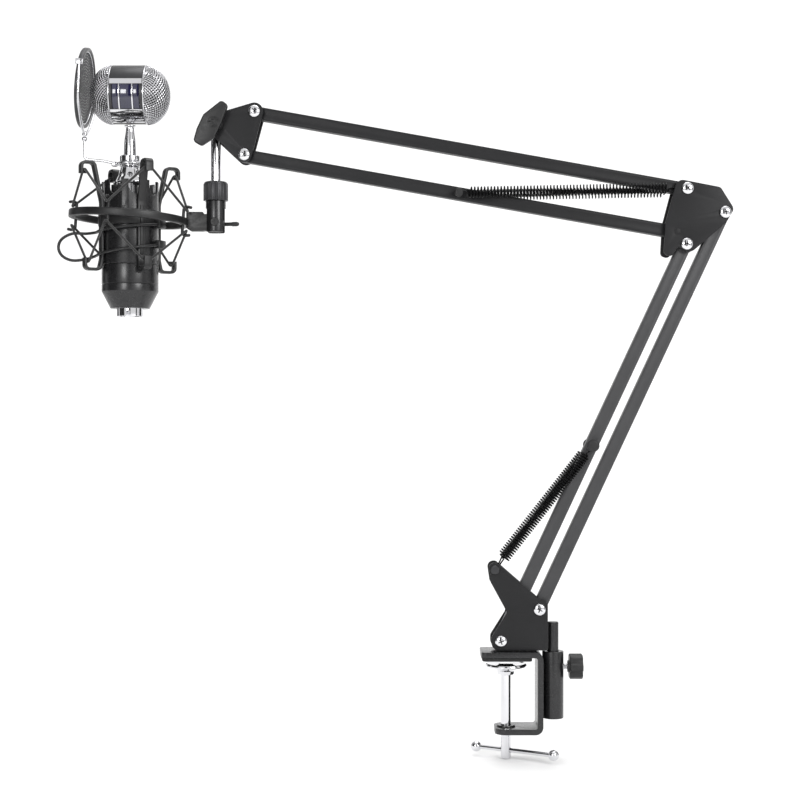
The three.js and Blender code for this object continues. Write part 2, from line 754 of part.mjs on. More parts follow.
function micBody() {
  const inner = micRadius - micWall;
  const deckTop = 366;
  const shell = turned([
    [inner, seamZ + gap], [micRadius, seamZ + gap], [micRadius, crownTop - 0.6], [micRadius - 0.6, crownTop],
    [inner, crownTop], [inner, deckTop], [3.6, deckTop], [3.6, deckTop - 2.5], [inner, deckTop - 2.5],
    [inner, seamZ + gap],
  ], 26);
  const notches = [];
  for (let i = 0; i < 4; i += 1) {
    const notch = join(block([-40, 40], [-6, 6], [374.1, 390]), rod([-40, 0, 374.1], [40, 0, 374.1], 6, 20));
    notches.push(notch.rotateZ(radians(22.5 + 45 * i)));
  }
  return cut(shell, ...notches);
}

function micTail() {
  const inner = micRadius - micWall;
  const grooveZ = 298;
  return turned([
    [11, tailBottom], [15.2, tailBottom], [micRadius - 0.8, tailTop - 0.8], [micRadius, tailTop + 0.4],
    [micRadius, grooveZ - 0.5], [micRadius - 0.6, grooveZ], [micRadius, grooveZ + 0.5], [micRadius, seamZ],
    [inner, seamZ], [inner, tailTop + 1], [14, tailBottom + 4], [11, tailBottom + 4], [11, tailBottom],
  ], 26);
}

function xlrShell() {
  return turned([[9.3, 272.6], [10.5, 272.6], [10.5, 290], [9.3, 290], [9.3, 272.6]], 24);
}

function xlrInsert() {
  const face = 284.4;
  const pins = [0, 1, 2].map((i) => {
    const [x, y] = around(0, 4.6, 90 + 120 * i, 0);
    return rod([x, y, 277.6], [x, y, face + 1], 1.2, 10);
  });
  return join(rod([0, 0, face], [0, 0, 289], 9, 28), ...pins);
}

function neckSkirt() {
  const skirt = turned([
    [11, 378.4], [13, 378.4], [13, 379.4], [11.5, 379.8], [9.4, 384.5], [7.6, 391.4], [5.6, 391.4],
    [5.6, 389.8], [6.4, 389.8], [8.2, 384], [10, 379.6], [11, 378.4],
  ], 24);
  const holes = [];
  for (let i = 0; i < 4; i += 1) {
    const [x, y] = around(0, 16, 45 * i, 0);
    holes.push(rod([x, y, 384.8], [-x, -y, 384.8], 2.1, 8));
  }
  return cut(skirt, ...holes);
}

function neckCollar() {
  return turned([
    [5.4, 391.7], [7.9, 391.7], [8.25, 392.1], [8.25, 400], [7.8, 400.5], [5.4, 400.5], [5.4, 391.7],
  ], 24);
}

function neck() {
  const top = headZ - headRadius - gap - 0.4;
  return turned([
    [0, 362], [3, 362], [3, 388], [5.1, 390.5], [5.1, 401], [4.9, 410], [3.4, 420], [3.4, top - 1.6],
    [4.6, top - 0.6], [4.6, top], [0, top],
  ], 24);
}

function buildMicrophone() {
  const mic = new THREE.Group();
  mic.position.x = micX;
  assembly.add(mic);
  add("mic_body", micBody(), finish.satinBlack, mic);
  add("mic_tail", micTail(), finish.satinBlack, mic);
  add("xlr_shell", xlrShell(), finish.chrome, mic);
  add("xlr_insert", xlrInsert(), finish.blackPlastic, mic);
  add("mic_board", block([-16, 16], [-0.8, 0.8], [300, 355]), finish.board, mic);
  add("neck_skirt", neckSkirt(), finish.chrome, mic);
  add("neck_collar", neckCollar(), finish.chrome, mic);
  add("neck", neck(), finish.chrome, mic);
}

// Head capsule housing, drawn about Z and laid along X

function headBand() {
  const inner = headRadius - 1.8;
  const band = turned([
    [inner, -bandHalf], [headRadius, -bandHalf], [headRadius, bandHalf], [inner, bandHalf],
    [inner, -bandHalf],
  ], 26);
  band.rotateY(Math.PI / 2);
  const windowSeat = block([-10.8, 10.8], [-40, -15], [-9.6, 9.6]);
  return cut(band, windowSeat.rotateX(radians(windowTurn)));
}

function headWindow() {
  const outer = headRadius + 0.4;
  const sleeve = turned([[20.6, -10.5], [outer, -10.5], [outer, 10.5], [20.6, 10.5], [20.6, -10.5]], 26);
  const front = block([-10.5, 10.5], [-40, -15], [-9.3, 9.3]).rotateX(radians(windowTurn));
  return common(sleeve.rotateY(Math.PI / 2), front);
}

function grille(side) {
  const start = bandHalf + gap;
  const wall = 1.2;
  const outside = [];
  const inside = [];
  const steps = 5;
  for (let i = 0; i <= steps; i += 1) {
    const angle = (Math.PI / 2) * (i / steps);
    outside.push([headRadius * Math.cos(angle), start + capLength * Math.sin(angle)]);
    inside.push([(headRadius - wall) * Math.cos(angle), start + (capLength - wall) * Math.sin(angle)]);
  }
  outside[steps][0] = 0;
  inside[steps][0] = 0;
  const cap = turned([...outside.reverse(), ...inside].reverse(), 20);
  return cap.rotateY((side * Math.PI) / 2);
}

function capsule() {
  const body = turned([
    [0, -6], [11.6, -6], [12, -5.4], [12, 5.4], [11.6, 6], [0, 6],
  ], 20).rotateY(Math.PI / 2);
  return join(body, rod([0, 0, -21.2], [0, 0, -8], 3, 12));
}

function buildMicHead() {
  const head = new THREE.Group();
  head.position.set(micX, 0, headZ);
  assembly.add(head);
  add("head_band", headBand(), finish.darkMetal, head);
  add("head_window", headWindow(), finish.window, head);
  add("grille_left", grille(-1), finish.silverMesh, head);
  add("grille_right", grille(1), finish.silverMesh, head);
  add("capsule", capsule(), finish.brass, head);
}

// Pop filter, its rim drawn about Z and stood up to face along X

function popRim() {
  const inner = filterRadius - 3;
  const profile = [[inner, -2], [filterRadius, -2], [filterRadius, 2], [inner, 2], [inner, -2]];
  return turned(profile, 36).rotateY(Math.PI / 2);
}

function popMesh() {
  const radius = filterRadius - 3 - gap;
  return turned([[0, -0.4], [radius, -0.4], [radius, 0.4], [0, 0.4]], 30).rotateY(Math.PI / 2);
}

// The fork is drawn about its lower joint
function popFork() {
  const rimZ = filterCentre[1] - forkPivot[1];
  const side = filterRadius + gap + 1.1;
  const topZ = rimZ + 6;
  const prong = (sign) => [
    [0, sign * 1, 4],
    [0, sign * 13, 7],
    [0, sign * 26, 17],
    [0, sign * (side - 1), 29],
    [0, sign * side, topZ],
  ];
  const clip = (sign) => block([-2.8, 2.8], [sign * side - 1.3, sign * side + 1.3], [rimZ - 4, rimZ + 4]);
  return join(
    wire(prong(-1), 1.1, 10, 6),
    wire(prong(1), 1.1, 10, 6),
    clip(-1),
    clip(1),
    rod([0, 0, forkBallRadius + 0.4], [0, 0, 5.6], 2.1, 12),
  );
}

function popWire() {
  const [x, z] = forkPivot;
  const loopZ = 394;
  const loopRadius = 8.25 + gap + 1.3;
  const loop = new THREE.TorusGeometry(loopRadius, 1.1, 6, 16).translate(micX, 0, loopZ);
  const arm = wire([
    [x, 0, z], [x, 0, z - 6], [x, 0, z - 12.5], [x + 1.2, 0, z - 15.2], [x + 4, 0, z - 16.2],
    [x + 15, 0, loopZ + 2.6], [micX - loopRadius, 0, loopZ],
  ], 1.1, 20, 6);
  const ball = new THREE.SphereGeometry(forkBallRadius, 12, 8).translate(x, 0, z);
  return join(loop, arm, ball);
}

function buildPopFilter() {
  const hoop = new THREE.Group();
  hoop.position.set(filterCentre[0], 0, filterCentre[1]);
  hoop.rotation.y = radians(filterLean);
  assembly.add(hoop);
  add("pop_rim", popRim(), finish.darkMetal, hoop);
  add("pop_mesh", popMesh(), finish.darkMetal, hoop);
  const fork = add("pop_fork", popFork(), finish.silverMesh);
  fork.position.set(forkPivot[0], 0, forkPivot[1]);
  fork.rotation.y = radians(filterLean) * 0.5;
  add("pop_wire", popWire(), finish.silverMesh);
}

buildClamp();
buildBase();
buildLowerArm();
buildElbow();
buildUpperArm();
buildHead();
buildMount();
buildMicrophone();
buildMicHead();
buildPopFilter();

export default assembly;
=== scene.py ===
import json
from math import acos, atan2, cos, degrees, hypot, pi, radians, sin, sqrt, tan

import bmesh
import bpy
from mathutils import Matrix, Vector


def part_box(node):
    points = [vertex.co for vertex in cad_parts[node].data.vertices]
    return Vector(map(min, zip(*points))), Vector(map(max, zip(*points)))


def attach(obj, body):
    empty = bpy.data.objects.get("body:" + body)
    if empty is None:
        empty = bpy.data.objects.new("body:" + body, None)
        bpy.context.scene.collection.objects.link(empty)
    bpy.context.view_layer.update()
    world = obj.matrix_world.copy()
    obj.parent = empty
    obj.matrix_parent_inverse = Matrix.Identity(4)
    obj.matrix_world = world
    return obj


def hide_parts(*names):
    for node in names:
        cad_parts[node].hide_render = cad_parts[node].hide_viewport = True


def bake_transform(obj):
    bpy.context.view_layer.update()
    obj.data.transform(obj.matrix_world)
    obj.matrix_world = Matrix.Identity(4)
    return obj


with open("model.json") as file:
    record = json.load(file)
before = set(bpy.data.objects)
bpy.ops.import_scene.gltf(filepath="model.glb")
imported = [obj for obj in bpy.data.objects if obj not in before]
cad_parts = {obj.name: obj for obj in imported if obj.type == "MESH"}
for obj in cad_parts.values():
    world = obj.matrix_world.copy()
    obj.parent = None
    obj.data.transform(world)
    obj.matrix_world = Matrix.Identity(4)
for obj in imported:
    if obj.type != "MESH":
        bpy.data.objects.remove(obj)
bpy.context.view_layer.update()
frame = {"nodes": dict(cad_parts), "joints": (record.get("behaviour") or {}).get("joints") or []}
mm = 0.001

scene = bpy.context.scene
pivot = {j["name"]: Vector(j["pos_m"]) for j in frame["joints"] if j.get("pos_m")}


def low(node):
    return Vector(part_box(node)[0])


def high(node):
    return Vector(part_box(node)[1])


def middle(node):
    return (low(node) + high(node)) / 2


def ends(node):
    return low(node) / mm, high(node) / mm


# camera first: level, in front of the arm, looking along +Y
view = {"centreX": -0.0843, "height": 0.2062, "distance": 1.25, "plane": -0.010, "width": 0.632,
        "sensor": 36.0}


def makeCamera():
    data = bpy.data.cameras.new("camera")
    data.sensor_width = view["sensor"]
    data.lens = view["sensor"] * (view["distance"] + view["plane"]) / view["width"]
    data.clip_end = 20
    camera = bpy.data.objects.new("camera", data)
    camera.location = (view["centreX"], -view["distance"], view["height"])
    camera.rotation_euler = (pi / 2, 0, 0)
    scene.collection.objects.link(camera)
    scene.camera = camera


makeCamera()
print("camera ready")


# finishes
def node(tree, kind, **settings):
    made = tree.nodes.new(kind)
    for key, value in settings.items():
        if key in made.inputs:
            made.inputs[key].default_value = value
        else:
            setattr(made, key, value)
    return made


def finish(name, colour, rough, metal=0.0, spread=0.12, grain=900.0, bump=0.15, depth=0.00004, coat=0.0,
           coatRough=0.1, roughSpread=0.08, sheen=0.0, shine=0.5):
    material = bpy.data.materials.new(name)
    material.use_nodes = True
    tree = material.node_tree
    shader = tree.nodes["Principled BSDF"]
    for word, value in (("Metallic", metal), ("Coat Weight", coat), ("Coat Roughness", coatRough),
                        ("Sheen Weight", sheen), ("Specular IOR Level", shine)):
        shader.inputs[word].default_value = value
    place = node(tree, "ShaderNodeTexCoord")
    fine = node(tree, "ShaderNodeTexNoise", Scale=grain, Detail=3.0, Roughness=0.6)
    broad = node(tree, "ShaderNodeTexNoise", Scale=38.0, Detail=4.0, Roughness=0.55)
    for noise in (fine, broad):
        tree.links.new(place.outputs["Object"], noise.inputs["Vector"])
    ramp = node(tree, "ShaderNodeValToRGB")
    dark = [c * (1 - spread) for c in colour]
    light = [min(1.0, c * (1 + spread)) for c in colour]
    ramp.color_ramp.elements[0].position = 0.3
    ramp.color_ramp.elements[1].position = 0.7
    ramp.color_ramp.elements[0].color = (*dark, 1)
    ramp.color_ramp.elements[1].color = (*light, 1)
    tree.links.new(broad.outputs["Fac"], ramp.inputs["Fac"])
    tree.links.new(ramp.outputs["Color"], shader.inputs["Base Color"])
    limits = {"From Min": 0.3, "From Max": 0.7, "To Min": max(0.02, rough - roughSpread),
              "To Max": min(1.0, rough + roughSpread)}
    spreadRough = node(tree, "ShaderNodeMapRange", **limits)
    tree.links.new(fine.outputs["Fac"], spreadRough.inputs["Value"])
    tree.links.new(spreadRough.outputs["Result"], shader.inputs["Roughness"])
    dent = node(tree, "ShaderNodeBump", Strength=bump, Distance=depth)
    tree.links.new(fine.outputs["Fac"], dent.inputs["Height"])
    tree.links.new(dent.outputs["Normal"], shader.inputs["Normal"])
    return material


def braidFinish(name, colour, pitch):
    material = finish(name, colour, 0.75, bump=0.3, grain=2500.0, sheen=0.3)
    tree = material.node_tree
    shader = tree.nodes["Principled BSDF"]
    place = node(tree, "ShaderNodeTexCoord")
    wave = node(tree, "ShaderNodeTexWave", Scale=1 / pitch / 2, Distortion=1.2, Detail=1.0)
    wave.bands_direction = "DIAGONAL"
    tree.links.new(place.outputs["Object"], wave.inputs["Vector"])
    dent = node(tree, "ShaderNodeBump", Strength=0.6, Distance=0.00015)
    tree.links.new(wave.outputs["Fac"], dent.inputs["Height"])
    tree.links.new(dent.outputs["Normal"], shader.inputs["Normal"])
    return material


looks = {
    "satin_black": finish("satinLacquer", (0.012, 0.012, 0.013), 0.32, 0.3, bump=0.06, coat=0.35,
                          coatRough=0.22),
    "arm_black": finish("powderCoat", (0.010, 0.010, 0.011), 0.48, 0.1, grain=1500.0, bump=0.35,
                        depth=0.00005, shine=0.3),
    # painted light: the lower arm's bars get a lighter copy of the arm's black powder coat, standing in
    # for the light that falls on them
    "lower_arm": finish("powderCoatPaintedLight", (0.036, 0.036, 0.038), 0.48, 0.1, grain=1500.0, bump=0.35,
                        depth=0.00005),
    "black_plastic": finish("mouldedBlack", (0.006, 0.006, 0.0065), 0.42, grain=1100.0, bump=0.25),
    "dark_metal": finish("gunmetal", (0.05, 0.05, 0.053), 0.36, 0.7, bump=0.1),
    "rubber": finish("rubberBlack", (0.015, 0.015, 0.015), 0.85, grain=700.0, bump=0.5),
    "elastic_cord": braidFinish("elasticBraid", (0.012, 0.012, 0.012), 0.0011),
    "chrome": finish("chromePlate", (0.74, 0.74, 0.76), 0.08, 1.0, spread=0.03, roughSpread=0.03,
                     bump=0.02),
    "spring_black": finish("springSteel", (0.005, 0.005, 0.0055), 0.32, 0.85, bump=0.08),
    "silver_mesh": finish("wovenSilver", (0.6, 0.6, 0.62), 0.22, 1.0, spread=0.08, bump=0.1),
    "silver_wire": finish("brightWire", (0.66, 0.66, 0.68), 0.2, 1.0, spread=0.05, bump=0.05),
    "filter_mesh": finish("greyGauze", (0.09, 0.09, 0.093), 0.5, 0.6, bump=0.1),
    "window": finish("windowGloss", (0.008, 0.008, 0.035), 0.12, spread=0.3, bump=0.0, coat=1.0,
                     coatRough=0.04),
    "board": finish("solderMask", (0.02, 0.13, 0.06), 0.4, coat=0.4),
    "brass": finish("goldPlate", (0.62, 0.44, 0.18), 0.25, 1.0, spread=0.05),
}
liner = finish("foamLiner", (0.02, 0.02, 0.02), 0.9, grain=600.0, bump=0.8, depth=0.0003)
print("finishes ready")


# mesh tools
def fromMesh(name, mesh):
    obj = bpy.data.objects.new(name, mesh)
    scene.collection.objects.link(obj)
    return obj


def fromPoints(name, points, faces):
    mesh = bpy.data.meshes.new(name)
    mesh.from_pydata([tuple(p) for p in points], [], faces)
    tidyMesh(mesh)
    return fromMesh(name, mesh)


def tidyMesh(mesh, merge=1e-7):
    work = bmesh.new()
    work.from_mesh(mesh)
    bmesh.ops.remove_doubles(work, verts=work.verts, dist=merge)
    bmesh.ops.recalc_face_normals(work, faces=work.faces)
    work.to_mesh(mesh)
    work.free()


def settled(obj):
    graph = bpy.context.evaluated_depsgraph_get()
    graph.update()
    mesh = bpy.data.meshes.new_from_object(obj.evaluated_get(graph))
    mesh.name = obj.name
    return mesh


def applied(obj):
    mesh = settled(obj)
    obj.modifiers.clear()
    obj.data = mesh
    return obj


def carve(obj, tools):
    for tool in tools:
        cutter = obj.modifiers.new("cut", "BOOLEAN")
        cutter.operation = "DIFFERENCE"
        cutter.solver = "EXACT"
        cutter.object = tool
    applied(obj)
    for tool in tools:
        bpy.data.objects.remove(tool)
    return obj


def soften(obj, width, degrees=38, segments=2):
    edge = obj.modifiers.new("edge", "BEVEL")
    edge.width = width
    edge.segments = segments
    edge.limit_method = "ANGLE"
    edge.angle_limit = radians(degrees)
    edge.harden_normals = False
    return applied(obj)


def joined(name, objects):
    work = bmesh.new()
    for obj in objects:
        copy = obj.data.copy()
        copy.transform(obj.matrix_world)
        work.from_mesh(copy)
        bpy.data.meshes.remove(copy)
    mesh = bpy.data.meshes.new(name)
    work.to_mesh(mesh)
    work.free()
    for obj in objects:
        bpy.data.objects.remove(obj)
    return fromMesh(name, mesh)


# the node a piece is named after: headBolt becomes head_bolt
def nodeOf(name):
    return "".join("_" + c.lower() if c.isupper() else c for c in name)


def dressed(obj, slot, body, nodes=(), sharp=32, material=None):
    obj.data.materials.clear()
    obj.data.materials.append(material or looks[slot])
    obj.data.shade_smooth()
    obj.data.set_sharp_from_angle(angle=radians(sharp))
    if nodes:
        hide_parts(*nodes)
    if body:
        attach(obj, body)
    return obj


# corners are (x, y) or (x, y, radius); each radius becomes an arc
def filleted(corners, radius=0.0, closed=True, steps=6):
    flat = []
    count = len(corners)
    for i, corner in enumerate(corners):
        here = Vector(corner[:2])
        r = corner[2] if len(corner) > 2 else radius
        inside = closed or 0 < i < count - 1
        if r <= 0 or not inside:
            flat.append(here)
            continue
        before = (Vector(corners[i - 1][:2]) - here)
        after = (Vector(corners[(i + 1) % count][:2]) - here)
        room = 0.49 * min(before.length, after.length)
        before.normalize()
        after.normalize()
        half = acos(max(-1.0, min(1.0, before.dot(after)))) / 2
        if half > radians(88):
            flat.append(here)
            continue
        back = min(r / tan(half), room) if len(corner) < 3 else r / tan(half)
        r = back * tan(half)
        centre = here + (before + after).normalized() * (r / sin(half))
        first = here + before * back - centre
        last = here + after * back - centre
        sweep = atan2(first.x * last.y - first.y * last.x, first.dot(last))
        for k in range(steps + 1):
            angle = sweep * k / steps
            c, s = cos(angle), sin(angle)
            flat.append(centre + Vector((first.x * c - first.y * s, first.x * s + first.y * c)))
    return flat


def circle(centre, radius, steps=40):
    x, z = centre
    turn = 2 * pi / steps
    return [Vector((x + radius * cos(turn * k), z + radius * sin(turn * k)))
            for k in range(steps)]


# a flat piece in X and Z between two depths in Y, all in mm, with soft edges
def plate(name, outline, y0, y1, holes=(), edge=0.35):
    data = bpy.data.curves.new(name, "CURVE")
    data.dimensions = "2D"
    data.fill_mode = "BOTH"
    half = (y1 - y0) / 2 * mm
    data.extrude = half - edge * mm
    data.bevel_depth = edge * mm
    data.offset = -edge * mm
    data.bevel_resolution = 2
    for ring in (outline, *holes):
        line = data.splines.new("POLY")
        line.points.add(len(ring) - 1)
        line.use_cyclic_u = True
        for point, place in zip(line.points, ring):
            point.co = (place[0] * mm, place[1] * mm, 0, 1)
    curve = bpy.data.objects.new(name, data)
    scene.collection.objects.link(curve)
    mesh = settled(curve)
    bpy.data.objects.remove(curve)
    mesh.transform(Matrix.Rotation(pi / 2, 4, "X"))
    mesh.transform(Matrix.Translation((0, (y0 + y1) / 2 * mm, 0)))
    tidyMesh(mesh, 1e-6)
    return fromMesh(name, mesh)


def slab(name, outline, z0, z1, holes=(), edge=0.35):
    return spun(plate(name, outline, -z1, -z0, holes, edge), -90, "X")


# turned about Z from (radius, height) in mm, then stood along another axis at a place
def turned(name, profile, at=(0, 0, 0), axis="Z", segments=72):
    points, rings, faces = [], [], []
    closed = tuple(profile[0][:2]) == tuple(profile[-1][:2])
    for radius, height in [p[:2] for p in profile]:
        if radius < 1e-6:
            rings.append([len(points)] * segments)
            points.append(Vector((0, 0, height * mm)))
            continue
        rings.append(list(range(len(points), len(points) + segments)))
        for k in range(segments):
            angle = 2 * pi * k / segments
            points.append(Vector((radius * mm * cos(angle), radius * mm * sin(angle),
                                  height * mm)))
    if closed:
        rings[-1] = rings[0]
    for lower, upper in zip(rings, rings[1:]):
        for k in range(segments):
            n = (k + 1) % segments
            corners = list(dict.fromkeys([lower[k], lower[n], upper[n], upper[k]]))
            if len(corners) > 2:
                faces.append(corners)
    if not closed and profile[0][0] > 1e-6:
        faces.append(rings[0])
        faces.append(rings[-1])
    used = sorted({i for face in faces for i in face})
    place = {old: new for new, old in enumerate(used)}
    obj = fromPoints(name, [points[i] for i in used], [[place[i] for i in face] for face in faces])
    turns = {"Z": Matrix.Identity(4), "Y": Matrix.Rotation(pi / 2, 4, "X"),
             "X": Matrix.Rotation(pi / 2, 4, "Y")}
    obj.data.transform(turns[axis])
    return shifted(obj, *at)


def soft(profile, radius=0.3):
    closed = tuple(profile[0][:2]) == tuple(profile[-1][:2])
    corners = profile[:-1] if closed else profile
    line = filleted(corners, radius, closed, 3)
    return [tuple(p) for p in line] + ([tuple(line[0])] if closed else [])


# the closed profile of a tube or a flat ring
def tubeProfile(inner, outer, z0, z1):
    return [(inner, z0), (outer, z0), (outer, z1), (inner, z1), (inner, z0)]


# a profile given as far as its middle, finished by its mirror image
def mirrored(profile):
    return profile + [(r, -z) for r, z in profile[::-1]]


def domeProfile(radius, height, z0, steps):
    angles = [pi / 2 * k / steps for k in range(steps)]
    return [(radius * cos(a), z0 + height * sin(a)) for a in angles]


def ballProfile(radius, z0, steps):
    angles = [pi * k / steps for k in range(steps + 1)]
    return [(radius * sin(a), z0 - radius * cos(a)) for a in angles]


# a closed outline from its radius at each of evenly spaced angles
def wavyOutline(radiusAt, steps):
    angles = [2 * pi * k / steps for k in range(steps)]
    return [Vector((radiusAt(k, a) * cos(a), radiusAt(k, a) * sin(a)))
            for k, a in enumerate(angles)]


def shifted(obj, x, y, z):
    obj.data.transform(Matrix.Translation(Vector((x, y, z)) * mm))
    return obj


def spun(obj, degrees, axis):
    obj.data.transform(Matrix.Rotation(radians(degrees), 4, axis))
    return obj


def blockOf(name, x, y, z):
    corners = [(a, b, c) for a in x for b in y for c in z]
    faces = [(0, 1, 3, 2), (4, 6, 7, 5), (0, 4, 5, 1), (2, 3, 7, 6), (0, 2, 6, 4), (1, 5, 7, 3)]
    return fromPoints(name, [Vector(c) * mm for c in corners], faces)


def rodOf(name, start, end, radius, segments=32):
    a, b = Vector(start), Vector(end)
    obj = turned(name, [(0, 0), (radius, 0), (radius, (b - a).length), (0, (b - a).length)],
                 segments=segments)
    obj.data.transform((b - a).to_track_quat("Z", "Y").to_matrix().to_4x4())
    return shifted(obj, *a)


# straight runs with round corners; points in mm
def cornered(points, radius, closed=False):
    path = []
    steps = 5
    count = len(points)
    for i, point in enumerate(points):
        here = Vector(point)
        if not closed and i in (0, count - 1):
            path.append(here)
            continue
        before = Vector(points[i - 1]) - here
        after = Vector(points[(i + 1) % count]) - here
        back = min(radius, 0.45 * before.length, 0.45 * after.length)
        start = here + before.normalized() * back
        end = here + after.normalized() * back
        for k in range(steps + 1):
            t = k / steps
            path.append(start * (1 - t) ** 2 + here * (2 * t * (1 - t)) + end * t * t)
    return path


# a smooth curve through points
def through(points, steps):
    count = len(points)
    spots = [Vector(p) for p in points]
    path = []
    for i in range(count - 1):
        p1, p2 = spots[i], spots[i + 1]
        p0 = spots[i - 1] if i > 0 else p1 * 2 - p2
        p3 = spots[i + 2] if i + 2 < count else p2 * 2 - p1
        for k in range(steps):
            t = k / steps
            path.append(0.5 * ((2 * p1) + (p2 - p0) * t + (2 * p0 - 5 * p1 + 4 * p2 - p3) * t * t
                               + (3 * p1 - p0 - 3 * p2 + p3) * t ** 3))
    path.append(spots[-1])
    return path


# round wire along a path in mm, with domed ends
def wire(name, path, radius, sides=12, closed=False):
    spots = [Vector(p) for p in path]
    count = len(spots)
    rings, points, faces = [], [], []
    normal = None
    for i, spot in enumerate(spots):
        ahead = spots[(i + 1) % count] if closed or i < count - 1 else spot
        behind = spots[i - 1] if closed or i > 0 else spot
        along = (ahead - behind).normalized()
        if normal is None:
            normal = along.orthogonal().normalized()
        normal = (normal - along * normal.dot(along)).normalized()
        across = along.cross(normal)
        rings.append((spot, along, normal, across, 1.0))
    if not closed:
        first, last = rings[0], rings[-1]
        caps = [(0.25, 0.97), (0.55, 0.83), (0.85, 0.5)]
        front = [(first[0] - first[1] * radius * out, *first[1:4], share)
                 for out, share in reversed(caps)]
        back = [(last[0] + last[1] * radius * out, *last[1:4], share) for out, share in caps]
        rings = front + rings + back
    for spot, along, normal, across, share in rings:
        for k in range(sides):
            angle = 2 * pi * k / sides
            outward = normal * cos(angle) + across * sin(angle)
            points.append((spot + outward * radius * share) * mm)
    total = len(rings)
    for i in range(total if closed else total - 1):
        n = (i + 1) % total
        for k in range(sides):
            m = (k + 1) % sides
            faces.append((i * sides + k, i * sides + m, n * sides + m, n * sides + k))
    if not closed:
        faces.append(tuple(range(sides)))
        faces.append(tuple(range((total - 1) * sides, total * sides)))
    return fromPoints(name, points, faces)


def around(centreX, radius, degrees, z):
    angle = radians(degrees)
    return Vector((centreX + radius * cos(angle), radius * sin(angle), z))


def flatOf(place):
    return Vector((place.x, place.z)) / mm


# pivots of the arm, and the spots its springs hold on to
basePivot = flatOf(pivot["lower_arm_tilt"])
baseOuter = flatOf(pivot["lower_outer_follow"])
elbowInner = flatOf(pivot["elbow_level"])
elbowOuter = elbowInner + baseOuter - basePivot
elbowTop = flatOf(pivot["upper_arm_tilt"])
elbowRivet = flatOf(pivot["upper_bottom_follow"])
headTop = flatOf(pivot["head_level"])
headBottom = headTop + elbowRivet - elbowTop
wingPivot = flatOf(pivot["mic_pin_tilt"])
anchor = flatOf(middle("base_spring_pin"))
lowerStud = flatOf(middle("lower_spring_stud"))
upperStud = flatOf(middle("upper_spring_stud"))

sheet = {"inner": 7.5, "outer": 9.5, "bolt": 2.0, "hole": 2.2}


# desk clamp
clamp = {"width": 30.0, "strip": 4.4, "bend": 6.2, "foot": -9.2, "topCorner": 4.0,
         "footCorner": 9.0, "screw": 4.0, "tube": 8.5, "bore": 5.0, "pin": 4.5, "weld": 1.0}


def makeClamp():
    bottom, top = ends("clamp_frame")
    right = top.x
    jawTop = bottom.z + clamp["strip"]
    underTop = top.z - clamp["strip"]
    lowerLeft = clamp["foot"]
    profile = filleted([
        (bottom.x, underTop), (bottom.x, top.z), (right, top.z, clamp["bend"]),
        (right, bottom.z, clamp["bend"]), (lowerLeft, bottom.z), (lowerLeft, jawTop),
        (right - clamp["strip"], jawTop, 1.8), (right - clamp["strip"], underTop, 1.8),
    ], steps=10)
    half = clamp["width"] / 2
    strip = plate("clampFrame", profile, -half, half, edge=0.01)
    tools = []
    for side in (-1, 1):
        for left, radius, z0, z1 in ((bottom.x, clamp["topCorner"], -8, 12),
                                     (lowerLeft, clamp["footCorner"], bottom.z - 3, jawTop + 3)):
            angles = [radians(a) for a in range(0, 91, 9)]
            arc = [(left + radius - radius * sin(a),
                    side * (half - radius + radius * cos(a))) for a in angles]
            corner = [(arc[0][0], side * (half + 4)), *arc, (left - 4, arc[-1][1]),
                      (left - 4, side * (half + 4))]
            tools.append(slab("corner", corner, z0, z1, edge=0.01))
    tools.append(rodOf("hole", (0, 0, bottom.z - 2), (0, 0, jawTop + 2), clamp["screw"] + 0.25, 48))
    carve(strip, tools)
    soften(strip, 0.5 * mm, segments=3)
    dressed(strip, "satin_black", "clamp", ["clamp_frame"])
    boss = turned("clampNut", soft([(4.3, jawTop - 0.2), (7.6, jawTop - 0.2), (7.2, jawTop + 1.3),
                                    (4.3, jawTop + 1.3), (4.3, jawTop - 0.2)], 0.3))
    dressed(boss, "satin_black", "clamp")


def makeTube():
    x = middle("clamp_tube").x / mm
    bottom, top = low("clamp_tube").z / mm, high("clamp_tube").z / mm
    r, bore = clamp["tube"], clamp["bore"]
    tube = turned("clampTube", soft(tubeProfile(bore, r, bottom, top), 0.45),
                  (x, 0, 0), segments=96)
    screwZ = middle("lock_screw").z / mm
    carve(tube, [rodOf("hole", (x, 0, screwZ), (x + 14, 0, screwZ), 2.55, 32)])
    dressed(tube, "satin_black", "clamp", ["clamp_tube"])
    for side in (-1, 1):
        run = [(x - r + 0.3, side * 3.1, bottom + 3 + k * (top - bottom - 12) / 40) for k in range(41)]
        weld = wire("clampWeldFront" if side < 0 else "clampWeldRear", run, clamp["weld"], 10)
        for spot in weld.data.vertices:
            spot.co.x += 0.00012 * sin(spot.co.z * 4200)
        dressed(weld, "satin_black", "clamp")


def makePad():
    a, b = ends("jaw_pad")
    outline = filleted([(a.x, a.y, 3), (b.x, a.y, 3), (b.x, b.y, 3), (a.x, b.y, 3)], steps=8)
    pad = slab("jawPad", outline, 0.0, b.z, edge=0.4)
    dressed(pad, "rubber", "clamp", ["jaw_pad"])


tommy = {"rod": 1.75, "ball": 4.35, "hole": 1.95}


def tommyAxis():
    found = [j for j in frame["joints"] if j["name"] == "tommy_bar_slide"][0]
    return Vector(found["axis"]).normalized()


